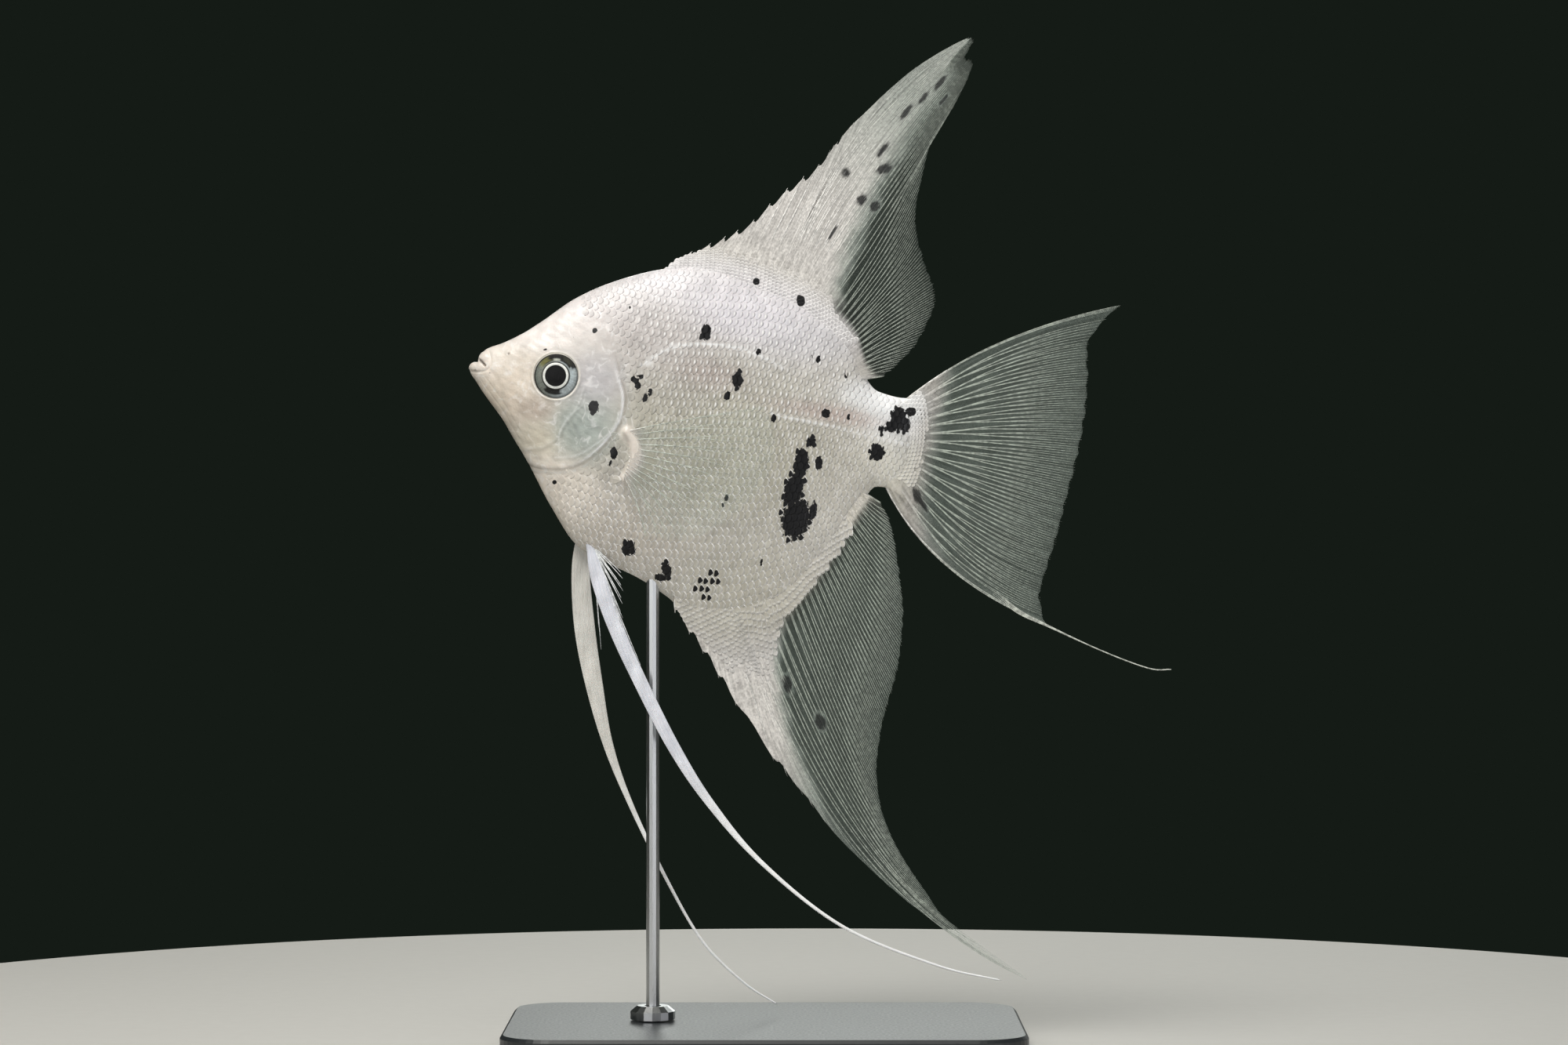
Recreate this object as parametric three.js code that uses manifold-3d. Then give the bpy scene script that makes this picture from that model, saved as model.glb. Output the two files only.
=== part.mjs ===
// Freshwater angelfish (Pterophyllum scalare), a life-size still model held up by a plain display stand.
//
// Millimetres, +Z up, origin on the floor under the middle of the model. The fish looks along -X.
// The fish is drawn in axes of its own, written [s, h]: s runs back from the lips and h runs up from
// them. Its left flank is at -Y. One group pitches it nose up and lifts it to its place on the rod.

import * as THREE from 'three';
import Module from 'manifold-3d';
import { mergeVertices } from 'three/addons/utils/BufferGeometryUtils.js';

const wasm = await Module();
wasm.setup();

// Driving sizes

const gap = 0.3;
const pose = { pitch: THREE.MathUtils.degToRad(10), lipsX: -62.6, lipsZ: 122 };

const body = {
  front: -0.1,
  back: 80,
  stations: 46,
  ringPoints: 24,
  top: [[-0.1, -0.2], [0.3, 0.6], [1.2, 1.9], [2.3, 3.5], [5, 5.1], [8.1, 7.3], [11.1, 10], [16.3, 15.1],
    [22.2, 19.1], [30.1, 22.8], [38.2, 25.1], [43.3, 24.9], [52.8, 23], [61.9, 19.6], [66.9, 15.5],
    [69.7, 10.5], [72.6, 8.2], [76.4, 7.8], [80, 8.4]],
  bottom: [[-0.1, -0.5], [0.05, -1], [0.5, -1.75], [1.3, -2.55], [3.2, -4.6], [7.5, -8.8], [10, -11.8],
    [12.5, -14.6], [18.6, -22.5], [24.6, -28.6], [31.2, -30.9], [35.8, -32.2], [41.6, -34.6],
    [47.2, -37.7], [53.6, -38], [60.8, -34.6], [68.3, -23.6], [72.9, -12.6], [75, -8.9], [77, -8.7],
    [80, -9.8]],
  halfWidth: [[-0.1, 0.1], [0.6, 1.1], [2, 2.1], [5, 3.2], [10, 4.6], [15.7, 5.6], [22, 6.4], [28, 6.9],
    [35, 7], [45, 6.2], [55, 4.9], [65, 3.4], [72, 2.5], [77, 1.9], [80, 0.8]],
  widestLevel: [[-0.1, -0.35], [3, 0], [16, -1], [32, -3], [50, -1], [66, 0], [80, 0]],
  keel: [[-0.1, 1], [20, 1.05], [35, 1.2], [50, 1.7], [68, 1.6], [80, 1.1]],
};

const mouth = {
  width: 12,
  outline: [[0.2, 1.9], [1.3, 1.5], [3, 0.35], [3, 0.15], [1.6, 0.95], [0.2, 1.2]],
};

// The head ends at the free edge of the gill cover and, over it, at the nape.
const headEnd = {
  cut: [[23, 32], [23.4, 20], [25.2, 9], [26.4, 2.9], [28.4, -1.3], [28.1, -6], [26.6, -9],
    [22.7, -12.9], [18.6, -14.8], [14.8, -14.8], [12.4, -14.6], [9, -18]],
  step: [0.4, -0.3],
  smoothness: 30,
  before: -10,
};
const stalkStart = 71;

const eye = {
  s: 15.7, h: 0.7, rim: 5.2, radius: 4.06, dome: 1.1, depth: 3.2, turn: 0.12, around: 20, rings: 8,
};

// Fins are fans of rays. A row is one ray: its foot inside the body, its middle and its tip.
const dorsalFin = {
  rays: [
    [30.7, 22, 32, 23.6, 33.2, 25.2], [36.7, 23.2, 38.8, 26.9, 40.9, 30.7],
    [44.9, 23.7, 47.6, 32.4, 50.3, 41.1], [50, 22.9, 53.8, 36.8, 57.5, 50.8],
    [50.9, 22.6, 56.3, 39.2, 61.1, 56.4], [51.3, 22.5, 58.5, 46.5, 69, 66.3],
    [51.8, 22.5, 60, 50.9, 76.5, 72.6], [53.2, 22.2, 62.2, 48.8, 78.5, 73],
    [54.8, 21.6, 64.3, 46.6, 77.6, 69.7], [56.2, 20.9, 65.7, 44, 79.1, 69.2],
    [58.9, 19.3, 67.9, 38.8, 76.9, 60.5], [60.9, 17.9, 68.4, 34, 73.8, 50.5],
    [62.9, 16.4, 69.8, 28.4, 74, 39], [65.5, 14, 72.4, 21.7, 79.2, 28.2],
    [67.8, 11.2, 72.8, 14.7, 77.8, 17.4], [69.1, 9.6, 71, 10.2, 73.1, 10.9],
  ],
  spines: 11,
  spineRows: 3,
  softColumns: 21,
  rootHalf: 0.7,
  tipHalf: 0.26,
  sway: (s, h) => 1.2 * Math.sin((s - 42) / 13) * Math.max(0, (h - 24) / 45),
};
const analFin = {
  rays: [
    [42.6, -33.6, 43.2, -35.3, 43.7, -37.2], [45.1, -31.7, 47.7, -37.6, 49.9, -43.5],
    [47.9, -29.8, 52.8, -40.6, 57.3, -51.6], [50.7, -27.9, 59.5, -45.5, 70.8, -64.4],
    [51.2, -27.5, 63.8, -51.2, 80.3, -72.4], [51.6, -27.2, 70.3, -60, 93.6, -80.9],
    [51.9, -26.9, 75.9, -65.8, 106.3, -86.6], [52.3, -26.7, 81.3, -69.8, 117.4, -90.8],
    [53.6, -25.8, 79.6, -64.7, 101.7, -83.1], [56.6, -23.6, 76.2, -54.7, 90.7, -72.4],
    [59.6, -21.2, 73.4, -43.8, 84.3, -59.6], [62.6, -18.8, 73.8, -35.6, 83.7, -50.5],
    [65.6, -16.4, 75.3, -28.8, 84.7, -40.4], [68.3, -14.3, 76, -22.4, 83.9, -29.7],
    [70.7, -12.4, 76.1, -17.3, 81.4, -21.2], [73.3, -10.2, 75, -10.8, 76.5, -11.4],
  ],
  spines: 7,
  spineRows: 3,
  softColumns: 22,
  rootHalf: 0.7,
  tipHalf: 0.26,
  sway: (s, h) => 1.5 * Math.sin((s - 60) / 17) * Math.max(0, (-34 - h) / 50),
};
const caudalFin = {
  rays: [
    [77.5, 7.2, 92.5, 20.5, 112.6, 30.8], [78, 5.5, 93, 17, 108.4, 24],
    [78.5, 4, 94, 12.5, 109.2, 17.5], [79, 2.3, 94.5, 7.5, 109.9, 10.8],
    [79.2, 0.5, 94.8, 2.5, 109.9, 3.8], [79.2, -1.2, 94.5, -2.8, 109.3, -4],
    [79, -2.8, 94, -8.2, 108.7, -11.2], [78.7, -4.3, 93.5, -13.5, 107.9, -17.5],
    [78.3, -5.7, 92.8, -17.5, 107.5, -23], [77.2, -8.8, 90.5, -20.8, 109.6, -27.8],
  ],
  spines: 0,
  spineRows: 0,
  softColumns: 20,
  rootHalf: 0.6,
  tipHalf: 0.26,
  sway: (s, h) => 0.9 * Math.sin(h / 12 + 0.5) * Math.max(0, (s - 80) / 30),
};
const tailStreamer = {
  line: [[103, -26.1, 1.2], [109.6, -27.9, 0.9], [119.9, -30.6, 0.7], [128.6, -32.2, 0.6],
    [132.8, -31.7, 0.5]],
  thickness: 0.52,
  stations: 10,
};
const pectoralFin = {
  rays: [
    [30.2, -6.6, 41.5, -2.4, 53.4, 1.7], [31, -8, 43.5, -5.2, 56.4, -3.5],
    [31.6, -9.6, 44, -9.2, 56.3, -9.5], [31.9, -11.2, 43.3, -12.8, 54.2, -14.6],
    [31.9, -12.8, 41.2, -16, 50, -19.6], [31.6, -14.2, 38, -18.6, 44, -24.1],
    [31.2, -15.4, 34, -19.6, 36.3, -24.7],
  ],
  spines: 0,
  spineRows: 0,
  softColumns: 10,
  rootHalf: 0.6,
  tipHalf: 0.26,
  sway: (s) => 6.9 + 0.15 * Math.max(0, s - 31),
};

// Each pelvic fin is a narrow blade that runs out into a streamer: [s, h, breadth] down its middle.
const pelvicFins = {
  left: [[28.3, -25, 3.6], [30, -31.5, 4], [32.2, -38.2, 3.1], [38.1, -47.9, 2.7], [47.4, -60.3, 2.4],
    [56, -69.5, 1.6], [67, -78.3, 0.8], [82.7, -86.6, 0.6], [100.3, -90.4, 0.52], [112, -91, 0.5]],
  right: [[25.2, -25, 2.6], [25.6, -32.3, 3.3], [28.1, -42.6, 3.9], [31.6, -52.6, 3.3],
    [35.9, -62.7, 1.9], [41.6, -72.4, 1], [50.7, -85.2, 0.7], [58.9, -94.9, 0.6], [67.3, -100.8, 0.52],
    [74, -103.7, 0.5]],
  rootSide: 1.6,
  tipSide: 7.5,
  thickness: 0.8,
  tipThickness: 0.54,
  stations: 22,
};

const stand = {
  base: { length: 92, depth: 60, height: 5, corner: 9, bevel: 0.6, x: -10 },
  rod: { x: -30, radius: 1.2, foot: 1.5, top: 88, around: 12 },
  collar: { radius: 4, height: 2.4, shoulder: 0.6, topShare: 0.7, around: 16 },
};

// How finely the body, fins and ribbons are built, and how far the fins sit in the body.
const build = {
  fanSteps: 5,
  rootDepth: 1.2,
  webDip: 0.9,
  ribbonPoints: 8,
  stationSpread: 1.5,
  cutWidth: 60,
  cutReach: 40,
  cutHeight: 60,
  mergeGap: 0.0001,
};

const looks = {
  skin: { color: 0xd9d3ce, roughness: 0.42, metalness: 0.15 },
  fin: { color: 0xdfe4e2, roughness: 0.45, metalness: 0 },
  eye: { color: 0x2a2c2c, roughness: 0.1, metalness: 0 },
  base: { color: 0x2e3133, roughness: 0.35, metalness: 0 },
  steel: { color: 0xc4c6c8, roughness: 0.25, metalness: 1 },
};

// Helpers

// A smooth function through [x, y] pairs with rising x, which never overshoots them.
function through(pairs) {
  const slopes = pairs.slice(1).map(([x, y], i) => (y - pairs[i][1]) / (x - pairs[i][0]));
  const tangents = pairs.map((_, i) => {
    const before = slopes[i - 1] ?? slopes[i];
    const after = slopes[i] ?? slopes[i - 1];
    return before * after <= 0 ? 0 : (2 * before * after) / (before + after);
  });
  return (x) => {
    let i = 0;
    while (i < slopes.length - 1 && x > pairs[i + 1][0]) i += 1;
    const width = pairs[i + 1][0] - pairs[i][0];
    const t = THREE.MathUtils.clamp((x - pairs[i][0]) / width, 0, 1);
    const rise = slopes[i] * width;
    const leave = tangents[i] * width;
    const arrive = tangents[i + 1] * width;
    return pairs[i][1] + leave * t + (3 * rise - 2 * leave - arrive) * t ** 2
      + (leave + arrive - 2 * rise) * t ** 3;
  };
}

// Joins rings of points, all alike in number, into one closed skin. A ladder of faces shuts each end.
function loft(rings) {
  const around = rings[0].length;
  const faces = [];
  for (let r = 0; r < rings.length - 1; r += 1) {
    for (let k = 0; k < around; k += 1) {
      const a = r * around + k;
      const b = r * around + ((k + 1) % around);
      faces.push(a, b, b + around, a, b + around, a + around);
    }
  }
  const lastRing = (rings.length - 1) * around;
  for (let k = 0; k < around / 2 - 1; k += 1) {
    const [a, b, c, d] = [k, k + 1, around - 2 - k, around - 1 - k];
    faces.push(a, c, b, a, d, c);
    faces.push(...[a, b, c, a, c, d].map((i) => lastRing + i));
  }
  const geometry = new THREE.BufferGeometry().setFromPoints(rings.flat());
  geometry.setIndex(signedVolume(rings.flat(), faces) > 0 ? faces : faces.reverse());
  return geometry;
}

function signedVolume(points, faces) {
  let sum = 0;
  for (let i = 0; i < faces.length; i += 3) {
    const [a, b, c] = [points[faces[i]], points[faces[i + 1]], points[faces[i + 2]]];
    sum += a.dot(b.clone().cross(c));
  }
  return sum;
}

// A prism over an [s, h] outline, reaching as far to one side of the fish as to the other.
function prism(outline, width) {
  const shape = new THREE.Shape(outline.map(([s, h]) => new THREE.Vector2(s, h)));
  const geometry = new THREE.ExtrudeGeometry(shape, { depth: width, bevelEnabled: false, steps: 1 });
  return geometry.rotateX(Math.PI / 2).translate(0, width / 2, 0);
}

function solidOf(geometry) {
  const bare = geometry.clone();
  bare.deleteAttribute('normal');
  bare.deleteAttribute('uv');
  const merged = mergeVertices(bare, build.mergeGap);
  return new wasm.Manifold(new wasm.Mesh({
    numProp: 3,
    vertProperties: new Float32Array(merged.attributes.position.array),
    triVerts: new Uint32Array(merged.index.array),
  }));
}

// The largest piece of a solid as a geometry; a cut can leave crumbs, and they are dropped.
function geometryOf(solid) {
  const largest = solid.decompose().sort((a, b) => b.volume() - a.volume())[0];
  const { vertProperties, triVerts } = largest.getMesh();
  const geometry = new THREE.BufferGeometry();
  geometry.setAttribute('position', new THREE.BufferAttribute(vertProperties, 3));
  geometry.setIndex(new THREE.BufferAttribute(triVerts, 1));
  geometry.computeVertexNormals();
  return geometry;
}

function piece(name, geometry, look) {
  const mesh = new THREE.Mesh(geometry, new THREE.MeshStandardMaterial(look));
  mesh.name = name;
  return mesh;
}

// Body, eyes and mouth

const topLine = through(body.top);
const bottomLine = through(body.bottom);
const halfWidth = through(body.halfWidth);
const widestLevel = through(body.widestLevel);
const keel = through(body.keel);

// One section of the body. Its keel power makes the edges rounder (1) or sharper (over 1).
function bodyRing(s, grow) {
  const level = widestLevel(s);
  return Array.from({ length: body.ringPoints }, (_, k) => {
    const angle = (2 * Math.PI * k) / body.ringPoints;
    const up = Math.cos(angle);
    const reach = up > 0 ? topLine(s) - level + grow : level - bottomLine(s) + grow;
    const side = Math.sign(Math.sin(angle)) * Math.abs(Math.sin(angle)) ** keel(s);
    return new THREE.Vector3(s, (halfWidth(s) + grow) * side, level + reach * up);
  });
}

// Sections stand close together at the lips and wider apart towards the tail.
function bodySolid(grow) {
  const rings = Array.from({ length: body.stations + 1 }, (_, i) => {
    const s = body.front + (body.back - body.front) * (i / body.stations) ** build.stationSpread;
    const ring = bodyRing(s, grow);
    const shift = i === 0 ? -grow : i === body.stations ? grow : 0;
    ring.forEach((point) => point.setX(s + shift));
    return ring;
  });
  return solidOf(loft(rings));
}

function eyeGeometry(grow) {
  const profile = Array.from({ length: eye.rings + 1 }, (_, i) => {
    const angle = Math.PI * (i / eye.rings - 0.5);
    const rise = Math.sin(angle) * ((angle < 0 ? eye.depth : eye.dome) + grow);
    return new THREE.Vector2(Math.max(0, Math.cos(angle) * (eye.radius + grow)), rise);
  });
  profile[0].x = 0;
  profile[eye.rings].x = 0;
  return new THREE.LatheGeometry(profile, eye.around);
}

// Puts an eye, or the socket cutter for it, at its place on the left (-1) or right (1) of the head.
function placeEye(mesh, side) {
  mesh.position.set(eye.s, side * eye.rim, eye.h);
  mesh.rotation.z = side < 0 ? Math.PI - eye.turn : eye.turn;
  mesh.updateMatrix();
  return mesh;
}

const headCurve = new THREE.SplineCurve(headEnd.cut.map(([s, h]) => new THREE.Vector2(s, h)));
const headOutline = [
  [headEnd.before, headEnd.cut.at(0)[1]],
  ...headCurve.getPoints(headEnd.smoothness).map(({ x, y }) => [x, y]),
  [headEnd.before, headEnd.cut.at(-1)[1]],
];
const trunkOutline = headOutline.map(([s, h]) => [s + headEnd.step[0], h + headEnd.step[1]]);
const wide = build.cutWidth;

function behindStalkStart(s) {
  const [back, up] = [s + build.cutReach, build.cutHeight];
  return [[s, -up], [back, -up], [back, up], [s, up]];
}

const wholeBody = bodySolid(0);
const bodyWithGap = bodySolid(gap);

let head = wholeBody.intersect(solidOf(prism(headOutline, wide)));
head = head.subtract(solidOf(prism(mouth.outline, mouth.width)));
for (const side of [-1, 1]) {
  const socket = placeEye(new THREE.Mesh(eyeGeometry(gap)), side);
  head = head.subtract(solidOf(socket.geometry.applyMatrix4(socket.matrix)));
}

const behindHead = wholeBody.subtract(solidOf(prism(trunkOutline, wide)));
const stalk = behindHead.intersect(solidOf(prism(behindStalkStart(stalkStart + gap), wide)));
const trunkWhole = behindHead.subtract(solidOf(prism(behindStalkStart(stalkStart), wide)));

// Fins

// A ray between the rows of a fin, at a row number that need not be whole.
function rayAt(rays, row) {
  const i = Math.min(Math.floor(row), rays.length - 2);
  const near = [i - 1, i, i + 1, i + 2].map((k) => rays[THREE.MathUtils.clamp(k, 0, rays.length - 1)]);
  const t = row - i;
  return near[0].map((_, n) => {
    const [a, b, c, d] = near.map((ray) => ray[n]);
    return b + 0.5 * t * (c - a + t * (2 * a - 5 * b + 4 * c - d + t * (3 * (b - c) + d - a)));
  });
}

// The point at u along a ray: 0 is its foot, 0.5 its middle and 1 its tip.
function alongRay([s0, h0, s1, h1, s2, h2], u) {
  const [a, b, c] = [(1 - u) * (1 - 2 * u), 4 * u * (1 - u), u * (2 * u - 1)];
  return [a * s0 + b * s1 + c * s2, a * h0 + b * h1 + c * h2];
}

// Row numbers of a fin's columns. Between two spines the edge of the web is drawn in a little.
function finColumns({ rays, spines, spineRows, softColumns }) {
  const columns = [];
  for (let i = 0; i < 2 * spines - 2; i += 1) {
    columns.push({ row: (spineRows * i) / (2 * spines - 2), web: i % 2 === 1 });
  }
  for (let i = 0; i <= softColumns; i += 1) {
    columns.push({ row: spineRows + ((rays.length - 1 - spineRows) * i) / softColumns, web: false });
  }
  return columns;
}

function finSolid(fin, side = 1) {
  const rings = finColumns(fin).map(({ row, web }) => {
    const ray = rayAt(fin.rays, row);
    const length = Math.hypot(ray[4] - ray[0], ray[5] - ray[1]);
    const start = -build.rootDepth / length;
    const end = web ? 1 - build.webDip / length : 1;
    const near = [];
    const far = [];
    for (let i = 0; i <= build.fanSteps; i += 1) {
      const u = THREE.MathUtils.lerp(start, end, i / build.fanSteps);
      const [s, h] = alongRay(ray, u);
      const middle = side * fin.sway(s, h);
      const half = THREE.MathUtils.lerp(fin.rootHalf, fin.tipHalf, THREE.MathUtils.clamp(u, 0, 1));
      near.push(new THREE.Vector3(s, middle - half, h));
      far.unshift(new THREE.Vector3(s, middle + half, h));
    }
    return [...near, ...far];
  });
  return solidOf(loft(rings));
}

// A ribbon with an oval section along [s, h, breadth] points, its thickness lying across the fish.
function ribbonSolid(line, stations, thicknessAt, sideAt) {
  const points = line.map((point) => new THREE.Vector3(...point));
  const path = new THREE.CatmullRomCurve3(points, false, 'centripetal');
  const rings = Array.from({ length: stations + 1 }, (_, i) => {
    const u = i / stations;
    const { x: s, y: h, z: breadth } = path.getPointAt(u);
    const heading = path.getTangentAt(u).setZ(0).normalize();
    return Array.from({ length: build.ribbonPoints }, (_unused, k) => {
      const angle = (2 * Math.PI * (k + 0.5)) / build.ribbonPoints;
      const across = (Math.cos(angle) * breadth) / 2;
      const side = sideAt(u, s, h) + (Math.sin(angle) * thicknessAt(u)) / 2;
      return new THREE.Vector3(s - heading.y * across, side, h + heading.x * across);
    });
  });
  return solidOf(loft(rings));
}

function pelvicSolid(line, side) {
  const { rootSide, tipSide, thickness, tipThickness, stations } = pelvicFins;
  const thicknessAt = (u) => THREE.MathUtils.lerp(thickness, tipThickness, u);
  const sideAt = (u) => side * THREE.MathUtils.lerp(rootSide, tipSide, u);
  return ribbonSolid(line, stations, thicknessAt, sideAt);
}

const streamer = ribbonSolid(
  tailStreamer.line,
  tailStreamer.stations,
  () => tailStreamer.thickness,
  (_u, s, h) => caudalFin.sway(s, h),
);

const fins = {
  dorsal_fin: finSolid(dorsalFin),
  anal_fin: finSolid(analFin),
  caudal_fin: finSolid(caudalFin).add(streamer),
  pectoral_fin_left: finSolid(pectoralFin, -1),
  pectoral_fin_right: finSolid(pectoralFin, 1),
  pelvic_fin_left: pelvicSolid(pelvicFins.left, -1),
  pelvic_fin_right: pelvicSolid(pelvicFins.right, 1),
};

// Stand

function rodGeometry(grow) {
  const { radius, foot, top, x, around } = stand.rod;
  const height = top - foot + 2 * grow;
  return new THREE.CylinderGeometry(radius + grow, radius + grow, height, around)
    .rotateX(Math.PI / 2)
    .translate(x, 0, foot - grow + height / 2);
}

function baseGeometry() {
  const { length, depth, height, corner, bevel, x } = stand.base;
  const [a, b, r] = [length / 2 - bevel, depth / 2 - bevel, corner - bevel];
  const outline = new THREE.Shape();
  outline.absarc(a - r, b - r, r, 0, Math.PI / 2);
  outline.absarc(r - a, b - r, r, Math.PI / 2, Math.PI);
  outline.absarc(r - a, r - b, r, Math.PI, 1.5 * Math.PI);
  outline.absarc(a - r, r - b, r, 1.5 * Math.PI, 2 * Math.PI);
  const settings = {
    depth: height - 2 * bevel,
    bevelThickness: bevel,
    bevelSize: bevel,
    bevelSegments: 1,
    curveSegments: 5,
    steps: 1,
  };
  return new THREE.ExtrudeGeometry(outline, settings).translate(x, 0, bevel);
}

function collarGeometry() {
  const { radius, height, shoulder, topShare, around } = stand.collar;
  const bore = stand.rod.radius + gap;
  const section = [[bore, 0], [radius, 0], [radius, height * shoulder], [radius * topShare, height],
    [bore, height], [bore, 0]];
  return new THREE.LatheGeometry(section.map(([r, z]) => new THREE.Vector2(r, z)), around)
    .rotateX(Math.PI / 2)
    .translate(stand.rod.x, 0, stand.base.height + gap);
}

// Assembly

const angelfish = new THREE.Group();

const swimmer = new THREE.Group();
swimmer.rotation.y = pose.pitch;
swimmer.position.set(pose.lipsX, 0, pose.lipsZ);
swimmer.updateMatrix();
angelfish.add(swimmer);

const rodSocket = solidOf(rodGeometry(gap));
const socketInBody = solidOf(rodGeometry(gap).applyMatrix4(swimmer.matrix.clone().invert()));

swimmer.add(piece('head', geometryOf(head), looks.skin));
swimmer.add(piece('trunk', geometryOf(trunkWhole.subtract(socketInBody)), looks.skin));
swimmer.add(piece('tail_stalk', geometryOf(stalk), looks.skin));
swimmer.add(placeEye(piece('eye_left', eyeGeometry(0), looks.eye), -1));
swimmer.add(placeEye(piece('eye_right', eyeGeometry(0), looks.eye), 1));
for (const [name, fin] of Object.entries(fins)) {
  swimmer.add(piece(name, geometryOf(fin.subtract(bodyWithGap)), looks.fin));
}

angelfish.add(piece('stand_base', geometryOf(solidOf(baseGeometry()).subtract(rodSocket)), looks.base));
angelfish.add(piece('stand_collar', collarGeometry(), looks.steel));
angelfish.add(piece('stand_rod', rodGeometry(0), looks.steel));

export default angelfish;
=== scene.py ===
import math

import bpy
import numpy as np
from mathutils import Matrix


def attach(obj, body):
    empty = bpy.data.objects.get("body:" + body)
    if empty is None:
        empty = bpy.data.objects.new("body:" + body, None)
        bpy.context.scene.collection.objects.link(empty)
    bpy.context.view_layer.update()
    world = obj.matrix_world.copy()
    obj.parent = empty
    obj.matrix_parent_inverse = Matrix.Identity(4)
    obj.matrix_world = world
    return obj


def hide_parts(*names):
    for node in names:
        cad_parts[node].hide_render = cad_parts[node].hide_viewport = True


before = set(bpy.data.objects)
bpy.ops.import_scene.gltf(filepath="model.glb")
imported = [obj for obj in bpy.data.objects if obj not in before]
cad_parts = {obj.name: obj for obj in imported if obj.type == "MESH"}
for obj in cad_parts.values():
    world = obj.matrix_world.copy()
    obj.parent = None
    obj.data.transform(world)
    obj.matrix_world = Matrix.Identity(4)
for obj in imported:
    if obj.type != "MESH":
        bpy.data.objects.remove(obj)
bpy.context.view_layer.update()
bpy.ops.object.select_all(action="DESELECT")
print("frame loaded")

# The fish is drawn in millimetres on axes of its own: s runs back from the lips, h runs up from them,
# and y is the side, with the left flank at -y. toWorld pitches it nose up and lifts it onto its rod.
pose = {"pitch": math.radians(10), "lipsX": -62.6, "lipsZ": 122}
dice = np.random.default_rng(12)


def toWorld(s, y, h):
    s, y, h = np.broadcast_arrays(s, y, h)
    c, k = math.cos(pose["pitch"]), math.sin(pose["pitch"])
    return np.stack([pose["lipsX"] + s * c + h * k, y, pose["lipsZ"] - s * k + h * c], -1) / 1000


def fromWorld(places):
    c, k = math.cos(pose["pitch"]), math.sin(pose["pitch"])
    x, z = places[:, 0] * 1000 - pose["lipsX"], places[:, 2] * 1000 - pose["lipsZ"]
    return x * c - z * k, places[:, 1] * 1000, x * k + z * c


def through(pairs):  # a smooth function through pairs of numbers, which never overshoots them
    xs, ys = np.array(pairs, float).T
    slopes = np.diff(ys) / np.diff(xs)
    before, after = np.r_[slopes[0], slopes], np.r_[slopes, slopes[-1]]
    agree = before * after > 0
    tangents = np.where(agree, 2 * before * after / np.where(agree, before + after, 1), 0)

    def at(x):
        i = np.clip(np.searchsorted(xs, x, side="right") - 1, 0, len(slopes) - 1)
        width = xs[i + 1] - xs[i]
        t = np.clip((x - xs[i]) / width, 0, 1)
        rise, leave, arrive = slopes[i] * width, tangents[i] * width, tangents[i + 1] * width
        return (ys[i] + leave * t + (3 * rise - 2 * leave - arrive) * t ** 2
                + (leave + arrive - 2 * rise) * t ** 3)
    return at


def ramp(low, high, x):  # 0 up to low, 1 from high on, smooth between
    t = np.clip((x - low) / (high - low), 0, 1)
    return t * t * (3 - 2 * t)


def bell(away, breadth):  # 1 where away is 0, falling off over the breadth
    return np.exp(-(away / breadth) ** 2)


def mound(away, breadth):  # the same with a flatter top and steeper sides
    return np.exp(-(away / breadth) ** 4)


def mixed(a, b, t):
    return a + (b - a) * t


def lineThrough(points, steps=8):  # a smooth line through points
    p = np.array(points, float)
    p = np.vstack([2 * p[0] - p[1], p, 2 * p[-1] - p[-2]])
    t = np.linspace(0, 1, steps, endpoint=False)[:, None]
    parts = [b + 0.5 * t * (c - a + t * (2 * a - 5 * b + 4 * c - d + t * (3 * (b - c) + d - a)))
             for a, b, c, d in zip(p, p[1:], p[2:], p[3:])]
    return np.vstack(parts + [p[-2:-1]])


def distanceTo(line, s, h):  # how far points are from a line, and how far along it, 0 to 1
    s, h = np.broadcast_arrays(np.asarray(s, float), np.asarray(h, float))
    best, along = np.full(s.shape, 1e9), np.zeros(s.shape)
    count = len(line) - 1
    for i in range(count):
        a, d = line[i], line[i + 1] - line[i]
        t = np.clip(((s - a[0]) * d[0] + (h - a[1]) * d[1]) / (d @ d), 0, 1)
        away = np.hypot(s - a[0] - t * d[0], h - a[1] - t * d[1])
        nearer = away < best
        best, along = np.where(nearer, away, best), np.where(nearer, (i + t) / count, along)
    return best, along


def gapTo(line, s, h):
    return distanceTo(line, s, h)[0]


def inside(outline, s, h):
    s, h = np.broadcast_arrays(np.asarray(s, float), np.asarray(h, float))
    found = np.zeros(s.shape, bool)
    for (s0, h0), (s1, h1) in zip(outline, np.roll(outline, -1, axis=0)):
        crosses = (h0 > h) != (h1 > h)
        found ^= crosses & (s < (s1 - s0) * (h - h0) / (h1 - h0 if h1 != h0 else 1e-9) + s0)
    return found


def linear(hexColour):  # an sRGB hex colour as linear red, green and blue
    c = np.array([int(hexColour[i:i + 2], 16) / 255 for i in (1, 3, 5)])
    return np.where(c <= 0.04045, c / 12.92, ((c + 0.055) / 1.055) ** 2.4)


def rgba(hexColour):
    return (*[float(x) for x in linear(hexColour)], 1.0)


def tinted(tone, hexColour, strength):  # tone has one colour for each number in strength
    return mixed(tone, linear(hexColour), np.asarray(strength)[..., None])


def wobble(a, b, size, seed=0):  # smooth unevenness about `size` across, from -1 to 1
    total = np.zeros(np.broadcast(a, b).shape)
    waves = np.random.default_rng(seed)
    for _ in range(9):
        turn, phase = waves.uniform(0, 2 * np.pi, 2)
        rate = 2 * np.pi / (size * waves.uniform(0.6, 1.8))
        total = total + np.sin(rate * (a * np.cos(turn) + b * np.sin(turn)) + phase)
    return total / 4


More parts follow.
